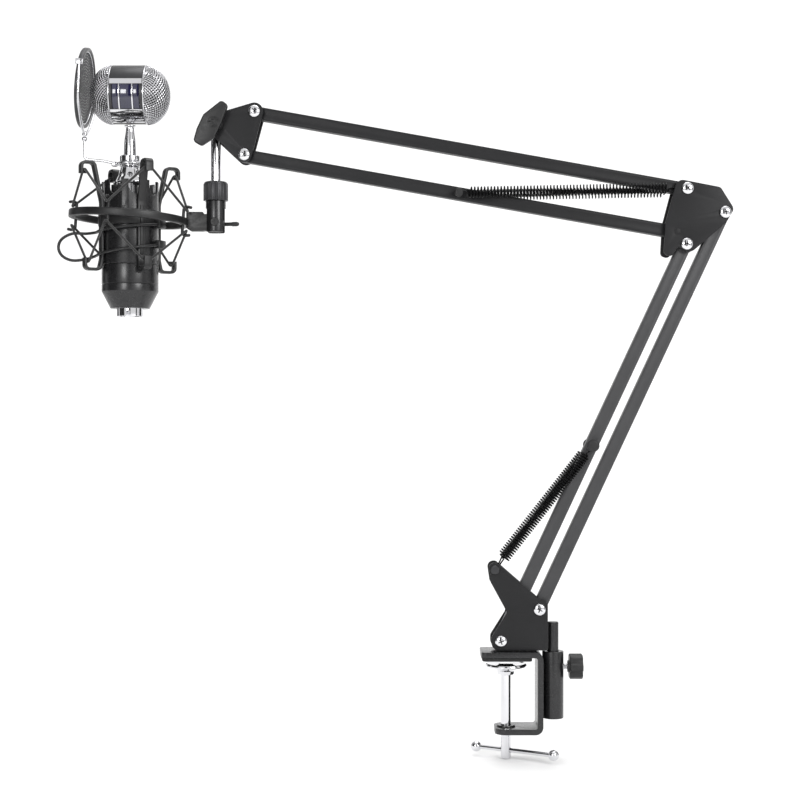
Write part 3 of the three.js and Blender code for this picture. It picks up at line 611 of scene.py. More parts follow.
def makeClampScrew():
    disc = turned("padDisc", soft([
        (0, -9), (5.2, -9), (5.2, -11.9), (6.6, -11.9), (7.2, -9.2), (8.6, -8.2), (11.5, -6.4),
        (16.0, -5.7), (16.7, -4.6), (16.2, -3.4), (15.2, -3.2), (13.4, -3.9), (9, -4.9),
        (6.4, -4.4), (5.4, -3.4), (0, -3.4)], 0.35), segments=112)
    dressed(disc, "chrome", "pad_disc", ["clamp_pad_disc"], sharp=50)
    bottom = low("clamp_screw").z / mm
    top = high("clamp_screw").z / mm
    r = clamp["screw"]
    screw = turned("clampScrew", soft([
        (0, bottom), (3.1, bottom), (r, bottom + 1.0), (r, top - 1.6), (3.0, top), (0, top)], 0.3),
        segments=64)
    heading = tommyAxis()
    barZ = middle("tommy_bar").z / mm
    reach = heading * 9
    hole = rodOf("hole", (-reach.x, -reach.y, barZ), (reach.x, reach.y, barZ), tommy["hole"], 32)
    carve(screw, [hole])
    dressed(screw, "chrome", "clamp_screw", ["clamp_screw"], sharp=50)
    centre = middle("tommy_bar") / mm
    half = (high("tommy_bar") - low("tommy_bar")).x / mm / 2 / heading.x - tommy["ball"] / heading.x
    tips = [centre - heading * half, centre + heading * half]
    bar = rodOf("tommyRod", *tips, tommy["rod"], 32)
    balls = [turned("ball", ballProfile(tommy["ball"], 0, 24), tip, "X", 48) for tip in tips]
    handle = joined("tommyBar", [bar, *balls])
    dressed(handle, "chrome", "tommy_bar", ["tommy_bar"], sharp=50)


knob = {"radius": 10.1, "scallop": 1.7, "lobes": 6, "screw": 2.02, "ridge": 0.26, "turns": 15,
        "perTurn": 20}


def makeLockKnob():
    a, b = ends("lock_knob")
    centreZ = middle("lock_screw").z / mm
    def edgeAt(k, a):
        return knob["radius"] - knob["scallop"] * max(0.0, -cos(knob["lobes"] * a)) ** 0.7

    outline = wavyOutline(edgeAt, 180)
    grip = shifted(spun(plate("lockKnob", outline, 0, b.x - a.x, edge=0.9), -90, "Z"), a.x, 0, centreZ)
    hub = turned("lockHub", soft([(2.5, -1.3), (4.6, -1.3), (5.2, 0.6), (2.5, 0.6), (2.5, -1.3)], 0.3),
                 (a.x, 0, centreZ), "X")
    cap = turned("lockCap", soft([(0, -0.2), (6.4, -0.2), (6.2, 0.5), (0, 0.7)], 0.3),
                 (b.x - 0.35, 0, centreZ), "X")
    whole = joined("lockKnob", [grip, hub, cap])
    dressed(whole, "black_plastic", "lock_knob", ["lock_knob"], sharp=40)
    start, end = ends("lock_screw")
    length, r, steps = end.x - start.x, knob["screw"], knob["turns"] * knob["perTurn"]
    turns = []
    for k in range(steps):
        angle = k * 2 * pi / knob["perTurn"]
        along = k / (steps - 1) * (length - 3)
        turns.append((start.x + 0.4 + along, r * cos(angle), centreZ + r * sin(angle)))
    thread = wire("lockThread", turns, knob["ridge"], 6)
    core = turned("lockCore", soft([(0, 0), (1.7, 0), (r, 0.4), (r, length), (0, length)], 0.2),
                  (start.x, 0, centreZ), "X", 40)
    dressed(joined("lockScrew", [core, thread]), "chrome", "lock_knob", ["lock_screw"], sharp=50)


makeClamp()
makeTube()
makePad()
makeClampScrew()
makeLockKnob()
print("clamp ready")


# bolts with domed cross-recess heads, a washer and a nut
boltFacts = {"head": 4.75, "dome": 2.3, "recess": 2.3, "slot": 0.85, "washer": 5.3, "nut": 4.3,
             "nutHigh": 3.2}


def crossOf(reach, half, z0, z1):
    return [blockOf("slot", (-a, a), (-b, b), (z0, z1)) for a, b in ((reach, half), (half, reach))]


def makeBolt(name, place, body, turn):
    face = sheet["outer"] + 0.3
    r, dome = boltFacts["head"], boltFacts["dome"]
    arc = domeProfile(r, dome - 0.45, face + 0.45, 12)
    head = turned("head", [(0, face), (r - 0.2, face), (r, face + 0.2), *arc, (0, face + dome)],
                  segments=64)
    carve(head, crossOf(boltFacts["recess"], boltFacts["slot"] / 2, face + dome - 1.2, face + dome + 2))
    soften(head, 0.12 * mm, degrees=50, segments=1)
    spun(head, turn, "Z")
    bore = sheet["bolt"]
    shaft = turned("shaft", [(0, -face - 3.9), (1.7, -face - 3.9), (bore, -face - 3.5),
                             (bore, face + 0.2), (0, face + 0.2)], segments=32)
    hexagon = circle((0, 0), boltFacts["nut"], 6)
    hole = circle((0, 0), bore - 0.05, 28)
    nut = slab("nut", hexagon, -face - boltFacts["nutHigh"], -face, [hole], 0.25)
    # painted shade: a dark metal cross set into the floor of the head's cross recess, standing in for
    # the shade inside it
    recessPaintedShade = joined(name + "RecessPaintedShade", crossOf(boltFacts["recess"] + 0.1, 0.5, face + 0.3, face + 1.25))
    spun(recessPaintedShade, turn, "Z")
    washer = tubeProfile(bore, boltFacts["washer"], -face - 0.02, -face + 0.28)
    rim = turned(name + "Washer", soft(washer, 0.08), segments=48)
    bolt = joined(name, [head, shaft, nut])
    for obj in (bolt, recessPaintedShade, rim):
        shifted(spun(obj, 90, "X"), place.x, 0, place.y)
    dressed(bolt, "chrome", body, [nodeOf(name)], sharp=40)
    dressed(recessPaintedShade, "dark_metal", body)
    dressed(rim, "dark_metal", body)


# base
def drilled(spots, radius=None):
    return [circle(spot, radius or sheet["hole"]) for spot in spots]


def makeBracket():
    outline = filleted([
        (-14.9, 77.6, 4.6), (-7.6, 77.5, 3.4), (25.4, 48.8, 2), (32.6, 45.6, 3), (32.6, 8.2, 2),
        (-12, 8.2, 6), (-12, 18.5, 5), (0.4, 38.2, 3), (-12.6, 62, 4)], steps=8)
    bracket = plate("baseBracket", outline, -sheet["outer"], sheet["outer"],
                    drilled([basePivot, baseOuter, anchor]), 0.01)
    inner = sheet["inner"]
    carve(bracket, [blockOf("inside", (-40, 30.6), (-inner, inner), (0, 90)),
                    blockOf("inside2", (20, 40), (-inner, inner), (30, 90))])
    soften(bracket, 0.35 * mm, segments=3)
    dressed(bracket, "arm_black", "base", ["base_bracket"])
    pinTop = high("base_pin").z / mm
    pinX = middle("base_pin").x / mm
    r = clamp["pin"]
    pin = turned("basePin", soft([(0, -42), (r - 0.8, -42), (r, -41), (r, pinTop - 0.7),
                                  (r - 0.7, pinTop), (0, pinTop)], 0.3),
                 (pinX, 0, 0), segments=64)
    dressed(pin, "satin_black", "base", ["base_pin"], sharp=50)
    weld = [wire("weld", [(pinX - r - 0.1, side * 2.6, 9 + k * 0.5) for k in range(40)], 0.9, 8)
            for side in (-1, 1)]
    dressed(joined("basePinWeld", weld), "satin_black", "base")
    half = sheet["outer"] + 1.5
    rivet = turned("springAnchor", soft(mirrored([
        (0, -half), (3.2, -half), (3.6, -half + 0.5), (3.6, -half + 1.2), (2.0, -half + 1.2)]), 0.25),
        (anchor.x, 0, anchor.y), "Y", 48)
    dressed(rivet, "dark_metal", "base", ["base_spring_pin"])


makeBracket()
makeBolt("baseBoltInner", basePivot, "base", 20)
makeBolt("baseBoltOuter", baseOuter, "base", 65)
print("base ready")


# square-tube bars and their studs
barFacts = {"half": 5.0, "wall": 1.0, "edge": 0.7, "studReach": 12.95}


def makeBar(name, start, end, body, look=None, studAlong=None):
    h = barFacts["half"]
    span = (end - start).length
    outline = filleted([(-h, -h, h), (span + h, -h, h), (span + h, h, h), (-h, h, h)], steps=12)
    spots = [Vector((0, 0)), Vector((span, 0))]
    if studAlong:
        spots.append(Vector((studAlong, 0)))
    bar = plate(name, outline, -h, h, drilled(spots), barFacts["edge"])
    inner = h - barFacts["wall"]
    carve(bar, [blockOf("bore", (-20, span + 20), (-inner, inner), (-inner, inner))])
    along = (end - start).normalized()
    shifted(spun(bar, -degrees(atan2(along.y, along.x)), "Y"), start.x, 0, start.y)
    dressed(bar, "arm_black", body, [nodeOf(name)], material=look)


def makeStud(name, place, body, nodeName, head):
    reach = barFacts["studReach"]
    profile = mirrored([(0, -reach - 1.6), (head * 0.7, -reach - 1.5), (head, -reach - 0.7),
                        (head, -reach), (2.0, -reach)])
    dressed(turned(name, soft(profile, 0.2), (place.x, 0, place.y), "Y", 56), "black_plastic", body,
            [nodeName])


# painted light: the lower arm's bars take the lighter copy of the black powder coat
paintedLightBar = looks["lower_arm"]
makeBar("lowerInnerBar", basePivot, elbowInner, "lower_inner", paintedLightBar, (lowerStud - basePivot).length)
makeBar("lowerOuterBar", baseOuter, elbowOuter, "lower_outer", paintedLightBar)
makeBar("upperTopBar", elbowTop, headTop, "upper_top")
makeBar("upperBottomBar", elbowRivet, headBottom, "upper_bottom",
        studAlong=(upperStud - elbowRivet).length)
makeStud("lowerStud", lowerStud, "lower_inner", "lower_spring_stud", 5.0)
makeStud("upperStud", upperStud, "upper_bottom", "upper_spring_stud", 3.6)
print("bars ready")


# balancing springs
springFacts = {"wire": 0.62, "coil": 4.0, "side": 9.75, "hook": 6.3, "eye": 2.85,
               "sweep": 285, "perTurn": 20}


def springPath(stud, anchor, coilStart, tail, plateReach, turns, side):
    heading = (anchor - stud).normalized()
    across = Vector((-heading.y, heading.x))
    length = (anchor - stud).length
    coilEnd = length - tail

    def spot(distance, offset, y):
        flat = stud + heading * distance + across * offset
        return Vector((flat.x, side * y, flat.y))

    def eyelet(distance, first, y):
        angles = [radians(first - springFacts["sweep"] * k / 19) for k in range(20)]
        return [spot(distance + eye * cos(a), eye * sin(a), y) for a in angles]

    eye, out = springFacts["eye"], springFacts["side"]
    path = [*eyelet(0, 330, out), spot(eye + 1.2, eye * 0.35, out)]
    steps = turns * springFacts["perTurn"]
    for k in range(steps + 1):
        share = k / steps
        grow = min(1.0, k / 12, (steps - k) / 12)
        angle = 2 * pi * k / springFacts["perTurn"]
        radius = springFacts["coil"] * (0.25 + 0.75 * grow)
        along = coilStart + (coilEnd - coilStart) * share
        path.append(spot(along, radius * sin(angle), out + radius * cos(angle)))
    path.append(spot(length - plateReach, 0.6, springFacts["hook"]))
    return path + eyelet(length, 150, springFacts["hook"])


def makeSpring(name, stud, anchor, coilStart, tail, plateReach, pitch, side):
    coil = (anchor - stud).length - coilStart - tail
    turns = round(coil / pitch)
    path = springPath(stud, anchor, coilStart, tail, plateReach, turns, side)
    spring = wire(name, path, springFacts["wire"], 8)
    dressed(spring, "spring_black", None, [nodeOf(name)], sharp=60)
    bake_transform(spring)


for word, side in (("Front", -1), ("Rear", 1)):
    makeSpring("lowerSpring" + word, lowerStud, anchor, 8.5, 11, 6.8, 2.1,
               side)
    makeSpring("upperSpring" + word, upperStud, elbowTop, 7, 15, 12, 2.6,
               side)
print("springs ready")


# elbow and arm head
def platePair(body, outline, holes):
    for word, side in (("front", -1), ("rear", 1)):
        near, far = sorted((side * sheet["inner"], side * sheet["outer"]))
        face = plate(body + "Plate" + word.title(), outline, near, far, holes, 0.4)
        dressed(face, "arm_black", body, [body + "_plate_" + word])


def makeElbow():
    outline = filleted([
        (135.2, 381.2, 6), (169.2, 374.6, 4), (180, 357.4, 5), (173.6, 346.4, 6),
        (144.2, 321.4, 7.5), (135.6, 327.6, 1.5), (130.6, 319.4, 3.6), (124.2, 321.6, 3.4),
        (125.4, 345.5, 4), (131.6, 369, 3)], steps=8)
    spots = [elbowTop, elbowRivet, elbowInner, elbowOuter]
    platePair("elbow", outline, drilled(spots))
    half = sheet["outer"] + 0.25
    rivet = turned("elbowRivet", soft([(0, -half), (2.6, -half), (2.2, -sheet["outer"] + 0.3),
                                       (2.0, 0), (2.2, sheet["outer"] - 0.3), (2.6, half),
                                       (0, half)], 0.15), (elbowRivet.x, 0, elbowRivet.y),
                                       "Y", 40)
    dressed(rivet, "arm_black", "elbow", ["elbow_rivet"])
    makeBolt("elbowBoltTop", elbowTop, "elbow", 40)
    makeBolt("elbowBoltOuter", elbowOuter, "elbow", 10)
    makeBolt("elbowBoltInner", elbowInner, "elbow", 75)


def hull(circles):
    rims = [p for centre, r in circles for p in circle(centre, r, 64)]
    spots = sorted({(round(p.x, 5), round(p.y, 5)) for p in rims})

    def half(points):
        chain = []
        for p in points:
            while len(chain) > 1 and ((chain[-1][0] - chain[-2][0]) * (p[1] - chain[-2][1])
                                      - (chain[-1][1] - chain[-2][1]) * (p[0] - chain[-2][0])) <= 0:
                chain.pop()
            chain.append(p)
        return chain[:-1]

    return [Vector(p) for p in half(spots) + half(spots[::-1])]


def makeHead():
    outline = hull([(Vector((-229.5, 424)), 8.5), (headTop, 7), (headBottom, 6)])
    platePair("head", outline, drilled([headTop, headBottom]) + drilled([wingPivot], 2.6))
    makeBolt("headBoltTop", headTop, "head", 30)
    makeBolt("headBoltBottom", headBottom, "head", 55)


def makeWing():
    outline = filleted([
        (-238.8, 430.6, 3), (-224.6, 441.8, 3), (-219.2, 438, 3), (-224.8, 423.2, 6),
        (-230, 412.4, 6), (-240.2, 405.6, 3), (-246.8, 409.6, 3), (-244, 419.6, 6)], steps=8)
    wings = plate("wings", outline, -18.5, -13.4, edge=1.2)
    at = (wingPivot.x, 0, wingPivot.y)
    boss = turned("boss", soft([(0, 9.9), (6.2, 9.9), (7, 10.8), (6.6, 14.4), (0, 14.4)], 0.5), at,
                  "Y", 56)
    crown = turned("crown", soft([(0, 18.2), (5.6, 18.2), (4.6, 18.5), (0, 18.5)], 0.2), at, "Y", 48)
    dressed(joined("wingKnob", [wings, boss, crown]), "black_plastic", "wing_knob", ["wing_knob"],
            sharp=40)
    shaft = turned("wingBolt", soft([(0, -13.6), (1.9, -13.6), (2.3, -13.1), (2.3, 14), (0, 14)], 0.2),
                   at, "Y", 40)
    nut = slab("wingNut", circle((0, 0), 5, 6), -13, -9.8, edge=0.3)
    shifted(spun(nut, 90, "X"), *at)
    dressed(joined("wingBolt", [shaft, nut]), "chrome", "wing_knob")


def makePin():
    bottom = low("mic_pin").z / mm
    x, z = wingPivot
    shaft = turned("shaft", soft([(0, bottom), (3.4, bottom), (4, bottom + 0.7), (4, z - 3.5),
                                  (0, z - 3.5)], 0.2), (x, 0, 0), segments=72)
    half = sheet["inner"] - 0.3
    eye = turned("eye", soft(tubeProfile(2.6, 6.3, -half, half), 0.4), (x, 0, z), "Y", 64)
    dressed(joined("micPin", [shaft, eye]), "chrome", "mic_pin", ["mic_pin"], sharp=50)


makeElbow()
makeHead()
makeWing()
makePin()
print("elbow and head ready")


# shock mount
mount = {"ringX": -300.0, "ringZ": 350.8, "ring": 47.4, "band": 4.5, "high": 6.0, "tilt": 4.0,
         "post": 1.2, "postCircle": 45.0, "postReach": 11.5, "firstPost": -11, "elastic": 1.0,
         "tongue": 4.0, "hang": 4.5, "eye": 6.6}
cage = {"inner": 22.85, "thick": 2.2, "width": 6.4, "firstArm": 31, "upFoot": 29.5, "upR": 41.8,
        "upZ": 394.0, "upLip": 384.0, "upBend": 362.0, "lowFoot": 24.6, "lowR": 38.7, "lowZ": 308.0,
        "lowLip": 318.0, "lowBend": 318.0, "foot": 2.0, "clear": 1.2}
micX = middle("mic_body").x / mm


socket = {"nut": 9.8, "groove": 9.5, "bore": 4.3, "slotTop": 358.6, "pin": 2.2}


def makeSocket():
    a, b = ends("mount_socket")
    x = middle("mount_socket").x / mm
    pivotZ = pivot["ring_tilt"].z / mm
    tube = turned("mountSocket", soft([(0, a.z), (7.4, a.z), (8, a.z + 0.8), (8, b.z), (0, b.z)], 0.4),
                  (x, 0, 0), segments=80)
    slotHalf = mount["tongue"] + 0.3
    carve(tube, [
        blockOf("slot", (x - 12, x + 12), (-slotHalf, slotHalf), (a.z - 1, socket["slotTop"])),
        rodOf("bore", (x, 0, b.z - 5), (x, 0, b.z + 1), socket["bore"], 48),
        rodOf("hole", (x, -12, pivotZ), (x, 12, pivotZ), socket["pin"], 32),
    ])
    dressed(tube, "satin_black", "socket", ["mount_socket"])
    lowest, highest = ends("collar_nut")
    bore, lid = socket["bore"], highest.z
    ridges = wavyOutline(lambda k, a: socket["nut"] if k % 6 < 4 else socket["groove"], 240)
    grip = slab("collarNut", ridges, lowest.z, lid - 1.8, [circle((0, 0), bore, 40)], 0.25)
    top = turned("top", soft([(bore, lid - 2.2), (9.45, lid - 2.2), (9.2, lid - 0.9), (8.2, lid - 0.1),
                              (4.5, lid), (bore, lid - 0.4), (bore, lid - 2.2)], 0.3), segments=72)
    nut = shifted(joined("collarNut", [grip, top]), x, 0, 0)
    dressed(nut, "dark_metal", "collar_nut", ["collar_nut"])


lever = {"depth": 10.6, "rod": 1.55, "tip": 1.85}


def makeLever():
    x = middle("mount_socket").x / mm
    z = pivot["ring_tilt"].z / mm
    y = lever["depth"]
    bolt = turned("bolt", soft([(0, -13.2), (2.9, -13.2), (3.6, -12.6), (3.6, -8.3), (2, -8.3),
                                (2, 8.3), (3.4, 8.3), (3.4, 9.1), (2.9, 9.6),
                                (0, 9.6)], 0.25), (x, 0, z), "Y", 48)
    slots = [blockOf("slot", (x - a, x + a), (-11, -8.9), (z - b, z + b))
             for a, b in ((1.9, 0.4), (0.4, 1.9))]
    carve(bolt, slots)
    arm = wire("arm", [(x + 1, y, z), (x + 6, y, z), (x + 12, y, z + 0.1), (x + 16.2, y, z + 0.2)],
               lever["rod"], 20)
    tip = wire("tip", [(x + 12.5, y, z + 0.1), (x + 15.6, y, z + 0.2)], lever["tip"], 20)
    dressed(joined("tiltLever", [bolt, arm, tip]), "black_plastic", "tilt_lever", ["tilt_lever"])


def makeRing():
    r, band, half = mount["ring"], mount["band"], mount["high"] / 2
    c, reach = mount["postCircle"], mount["postReach"]
    parts = [turned("hoop", soft(tubeProfile(r - band, r, -half, half), 0.9), segments=144)]
    for i in range(4):
        angle = mount["firstPost"] + 90 * i
        rise = [(5.8, -reach + 0.5), (2.5, -reach), (0, -reach + 1.4), (0, -4)]
        spots = [around(0, c + out, angle, z) for out, z in rise + [(out, -z) for out, z in rise[::-1]]]
        parts.append(wire("post", cornered(spots, 1.6), mount["post"], 14))
    ring = spun(joined("ring", parts), mount["tilt"], "Y")
    x = middle("mount_socket").x / mm - mount["ringX"]
    z = pivot["ring_tilt"].z / mm - mount["ringZ"]
    eye = mount["eye"]
    outline = filleted([
        (r - 1.5, z - 4.5, 1), (r + 2.2, z - 6.8, 1), (x - 10, z - 6.8, 0.4), (x - 9, z - eye, 0.5),
        (x, z - eye, 0.4), (x + 6.5, z - eye, 6.4), (x + 6.5, z + eye, 6.4), (x, z + eye, 0.4),
        (x - 9, z + eye, 0.4), (x - 10, z + 8.4, 1.2), (r - 1.5, z + 8.4, 1)], steps=10)
    tongue = plate("tongue", outline, -mount["tongue"], mount["tongue"], [circle((x, z), 2.2)], 0.5)
    ring = joined("mountRing", [ring, tongue])
    shifted(ring, mount["ringX"], 0, mount["ringZ"])
    dressed(ring, "black_plastic", "ring", ["mount_ring"])


def makeCage():
    inner, outer = cage["inner"], cage["inner"] + cage["thick"]
    t = cage["thick"]
    upFoot, upR, upZ, upLip, upBend = [cage["up" + word] for word in ("Foot", "R", "Z", "Lip", "Bend")]
    lowFoot, lowR, lowZ, lowLip, lowBend = [cage["low" + word]
                                            for word in ("Foot", "R", "Z", "Lip", "Bend")]
    profile = filleted([
        (lowFoot, lowZ, 4.2), (inner, lowBend, 6), (inner, upBend, 14), (upFoot, upZ, 4.4),
        (upR, upZ, 4.4), (upR, upLip), (upR - t, upLip), (upR - t, upZ - t, 2.4),
        (upFoot + t, upZ - t, 2.4), (outer, upBend, 14), (outer, lowBend, 6),
        (lowFoot + t, lowZ + t, 2.2), (lowR - t, lowZ + t, 2.4), (lowR - t, lowLip), (lowR, lowLip),
        (lowR, lowZ, 4.4)], steps=8)
    half = cage["width"] / 2
    parts = [turned("band", soft(tubeProfile(inner, outer, 344, 356), 0.5), segments=96)]
    for i in range(4):
        strip = plate("strip", profile, -half, half, edge=0.5)
        feet = []
        for hookR, z0, z1 in ((upR, upLip, upLip + cage["foot"]),
                              (lowR, lowLip - cage["foot"], lowLip)):
            feet.append(soften(blockOf("foot", (hookR - 6, hookR - 1), (-1.5, 1.5), (z0, z1)),
                               0.4 * mm))
        rib = soften(blockOf("rib", (outer - 0.3, outer + 0.8), (-1.3, 1.3),
                             (lowBend + 2, upBend - 3)), 0.35 * mm)
        arm = joined("arm", [strip, rib, *feet])
        spun(arm, cage["firstArm"] + 90 * i, "Z")
        parts.append(arm)
    dressed(shifted(joined("mountCage", parts), micX, 0, 0), "black_plastic", "cage", ["mount_cage"])


clipFacts = {"upper": 345.0, "upperDrop": 6.6, "lower": 329.0, "lowerDrop": 9.0, "start": -20,
             "sweep": 135, "step": 9, "wire": 1.15, "loopY": -6.0}


def makeClip():
    radius = cage["inner"] + cage["thick"] + 2.4
    start, steps = clipFacts["start"], clipFacts["sweep"] // clipFacts["step"]
    sides = []
    for word in ("upper", "lower"):
        z, drop = clipFacts[word], clipFacts[word + "Drop"]
        sides.append([around(micX, radius, start - clipFacts["step"] * k, z - drop * k / steps)
                      for k in range(steps + 1)])
    loop = ((-333, 338), (-344, 338), (-352.4, 333.6), (-355, 327), (-352, 320.4), (-344, 316.8),
            (-333, 317.8))
    spots = sides[0] + [Vector((x, clipFacts["loopY"], z)) for x, z in loop] + sides[1][::-1]
    clip = wire("wireClip", through(spots, 5), clipFacts["wire"], 16)
    dressed(clip, "black_plastic", "cage", ["wire_clip"], sharp=60)
    grips = []
    for word in ("upper", "lower"):
        block = soften(blockOf("grip", (-2.6, 2.6), (-5, 5), (-3.2, 3.2)), 0.8 * mm)
        grips.append(shifted(spun(block, start, "Z"), *around(micX, radius - 0.4, start,
            clipFacts[word])))
    dressed(joined("clipGrips", grips), "black_plastic", "cage")


def makeElastics():
    tilt = Matrix.Rotation(radians(mount["tilt"]), 3, "Y")
    for name, side in (("elasticUpper", 1), ("elasticLower", -1)):
        hookR = cage["upR"] if side > 0 else cage["lowR"]
        above = cage["foot"] + cage["clear"]
        restZ = cage["upLip"] + above if side > 0 else cage["lowLip"] - above
        reach = mount["postReach"] - mount["hang"]
        spots, postZs = [], []
        for i in range(4):
            local = tilt @ around(0, mount["postCircle"] + 3.8, mount["firstPost"] + 90 * i,
                                  side * reach)
            post = local + Vector((mount["ringX"], 0, mount["ringZ"]))
            postZs.append(post.z)
            spots.append(post)
            for turn in (-3.4, 3.4):
                spots.append(around(micX, hookR - 3.6, cage["firstArm"] + 90 * i + turn, restZ))
        loop = wire(name, cornered(spots, 1.6, True), mount["elastic"], 12, True)
        dressed(loop, "elastic_cord", None, [nodeOf(name)], sharp=70)
        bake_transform(loop)


makeSocket()
makeLever()
makeRing()
makeCage()
makeClip()
makeElastics()
print("shock mount ready")


# microphone
mic = {"radius": 22.35, "wall": 2.0, "deck": 366.0, "notch": 6.0, "notchZ": 374.1}


def makeBody():
    r, inner = mic["radius"], mic["radius"] - mic["wall"]
    a, b = low("mic_body").z / mm, high("mic_body").z / mm
    shell = turned("micBody", soft([
        (inner, a), (r, a), (r, b), (inner, b), (inner, mic["deck"]), (3.6, mic["deck"]),
        (3.6, mic["deck"] - 2.5), (inner, mic["deck"] - 2.5),
        (inner, a)], 0.4), (micX, 0, 0), segments=160)
    tools = []
    half = mic["notch"]
    notch = filleted([(-half, mic["notchZ"] - half, half - 0.01),
                      (half, mic["notchZ"] - half, half - 0.01), (half, 390),
                      (-half, 390)], steps=12)
    for i in range(8):
        tools.append(shifted(spun(plate("notch", notch, 16, 30, edge=0.01), 22.5 + 45 * i, "Z"), micX,
                             0, 0))
    carve(shell, tools)
    soften(shell, 0.3 * mm, degrees=42)
    dressed(shell, "satin_black", "cage", ["mic_body"])


def makeTail():
    r, inner = mic["radius"], mic["radius"] - mic["wall"]
    a, b = low("mic_tail").z / mm, high("mic_tail").z / mm
    tail = turned("micTail", soft([
        (11, a), (15.4, a), (21.6, a + 12.1, 1), (r, a + 13.4), (r, 297.6), (r - 0.5, 298),
        (r, 298.4), (r, b), (inner, b), (inner, a + 14), (14, a + 4), (11, a + 4),
        (11, a)], 0.25), (micX, 0, 0), segments=160)
    dressed(tail, "satin_black", "cage", ["mic_tail"])


xlr = {"shell": 10.5, "bore": 9.3, "face": 284.4, "back": 289.0, "pin": 1.2, "pinTip": 277.6,
       "pinCircle": 4.6}


def makeConnector():
    a, b = low("xlr_shell").z / mm, high("xlr_shell").z / mm
    shell = turned("xlrShell", soft(tubeProfile(xlr["bore"], xlr["shell"], a, b), 0.3), (micX, 0, 0),
                   segments=96)
    key = blockOf("key", (micX - 1.5, micX + 1.5), (-12, -9), (a - 1, a + 4.5))
    carve(shell, [key])
    dressed(shell, "chrome", "cage", ["xlr_shell"], sharp=50)
    face, back, r, tip = xlr["face"], xlr["back"], xlr["pin"], xlr["pinTip"]
    seat = turned("seat", soft([(0, face), (9, face), (9, back), (0, back)], 0.3), (micX, 0, 0),
                  segments=64)
    dressed(seat, "black_plastic", "cage", ["xlr_insert"])
    profile = soft([(0, tip), (r - 0.5, tip), (r, tip + 0.8), (r, face + 0.5), (0, face + 0.5)], 0.2)
    pins = [turned("pin", profile, around(micX, xlr["pinCircle"], 90 + 120 * i, 0), segments=24)
            for i in range(3)]
    dressed(joined("xlrPins", pins), "brass", "cage")


neck = {"hole": 2.15, "holeZ": 384.8}


def makeNeck():
    skirt = turned("neckSkirt", soft([
        (11, 378.4), (13, 378.4), (13, 379.4), (11.5, 379.9), (9.4, 384.5), (7.6, 391.4),
        (5.6, 391.4), (5.6, 389.8), (6.4, 389.8), (8.2, 384), (10, 379.6),
        (11, 378.4)], 0.25), (micX, 0, 0), segments=112)
    holes = []
    for i in range(4):
        out = around(0, 16, 45 * i + 10, 0)
        z = neck["holeZ"]
        holes.append(rodOf("hole", (micX + out.x, out.y, z), (micX - out.x, -out.y, z), neck["hole"],
                           28))
    carve(skirt, holes)
    dressed(skirt, "chrome", "cage", ["neck_skirt"], sharp=42)
    collar = turned("neckCollar", soft([
        (5.4, 391.7), (7.7, 391.7), (8.25, 392.3), (8.25, 395.2), (7.9, 395.6), (8.25, 396.0),
        (8.25, 399.8), (7.7, 400.5), (5.4, 400.5), (5.4, 391.7)], 0.3), (micX, 0, 0), segments=96)
    dressed(collar, "chrome", "cage", ["neck_collar"], sharp=45)
    top = high("neck").z / mm
    post = turned("neck", soft([
        (0, 362), (3, 362), (3, 388), (5.1, 390.5), (5.1, 401), (5.0, 406), (4.6, 413),
        (3.6, 419.5), (3.4, 422), (3.4, top - 1.8), (4.6, top - 0.8), (4.6, top),
        (0, top)], 0.5), (micX, 0, 0), segments=80)
    dressed(post, "chrome", "cage", ["neck"], sharp=50)


makeBody()
makeTail()
makeConnector()
makeNeck()
print("microphone body ready")


# microphone head
headFacts = {"radius": 23.4, "half": 12.8, "cap": 18.7, "cell": 2.15, "gauge": 0.66, "windowTurn": 13}
headZ = middle("head_band").z / mm


# an arc of the band between two angles, 0 straight in front and positive upwards, all in mm
def arcStrip(name, r0, r1, first, last, x0, x1, edge):
    steps = max(3, int(abs(last - first) / 3))
    angles = [radians(first + (last - first) * k / steps) for k in range(steps + 1)]
    outline = [Vector((-r1 * cos(a), r1 * sin(a))) for a in angles]
    outline += [Vector((-r0 * cos(a), r0 * sin(a))) for a in angles[::-1]]
    strip = slab(name, outline, x0, x1, edge=edge)
    # slab's X, Y and Z become Y, Z and X
    strip.data.transform(Matrix(((0, 0, 1, 0), (1, 0, 0, 0), (0, 1, 0, 0), (0, 0, 0, 1))))
    return shifted(strip, micX, 0, headZ)


def makeBand():
    r, half, down = headFacts["radius"], headFacts["half"], headFacts["windowTurn"]
    base = turned("base", soft(tubeProfile(r - 1.8, r - 0.5, -half, half), 0.2), (0, 0, 0), "X", 144)
    carve(base, [spun(blockOf("seat", (-10.8, 10.8), (-40, -15), (-9.5, 9.5)), down, "X")])
    shifted(base, micX, 0, headZ)
    dark = [base, arcStrip("upper", r - 0.7, r, 23.5, 150, -half, half, 0.25),
            arcStrip("back", r - 0.7, r, 156, 226, -half, half, 0.25)]
    dark += [arcStrip("side", r - 0.7, r, -37, 11, a, b, 0.15)
             for a, b in ((-half, -11.0), (11.0, half))]
    dressed(joined("headBand", dark), "dark_metal", "cage", ["head_band"])
    trims = [arcStrip("trim", r - 0.8, r + 0.35, 12, 22.6, -half, half, 0.2),
             arcStrip("trim", r - 0.8, r + 0.3, -44, -38, -half, half, 0.2)]
    for start in (-52, -60, -68, -76):
        trims.append(arcStrip("rib", r - 0.8, r + 0.05, start, start + 4.5, -half, half, 0.2))
    trims += [arcStrip("bar", r - 1.6, r + 0.2, -37.6, 11.8, x - 0.5, x + 0.5, 0.15)
              for x in (-5.2, 5.2)]
    dressed(joined("headTrim", trims), "chrome", "cage", sharp=40)
    panels = [arcStrip("panel", r - 1.9, r - 0.5, -37.2, 11.2, a, b, 0.2)
              for a, b in ((-10.5, -5.8), (-4.6, 4.6), (5.8, 10.5))]
    dressed(joined("headWindow", panels), "window", "cage", ["head_window"], sharp=25)


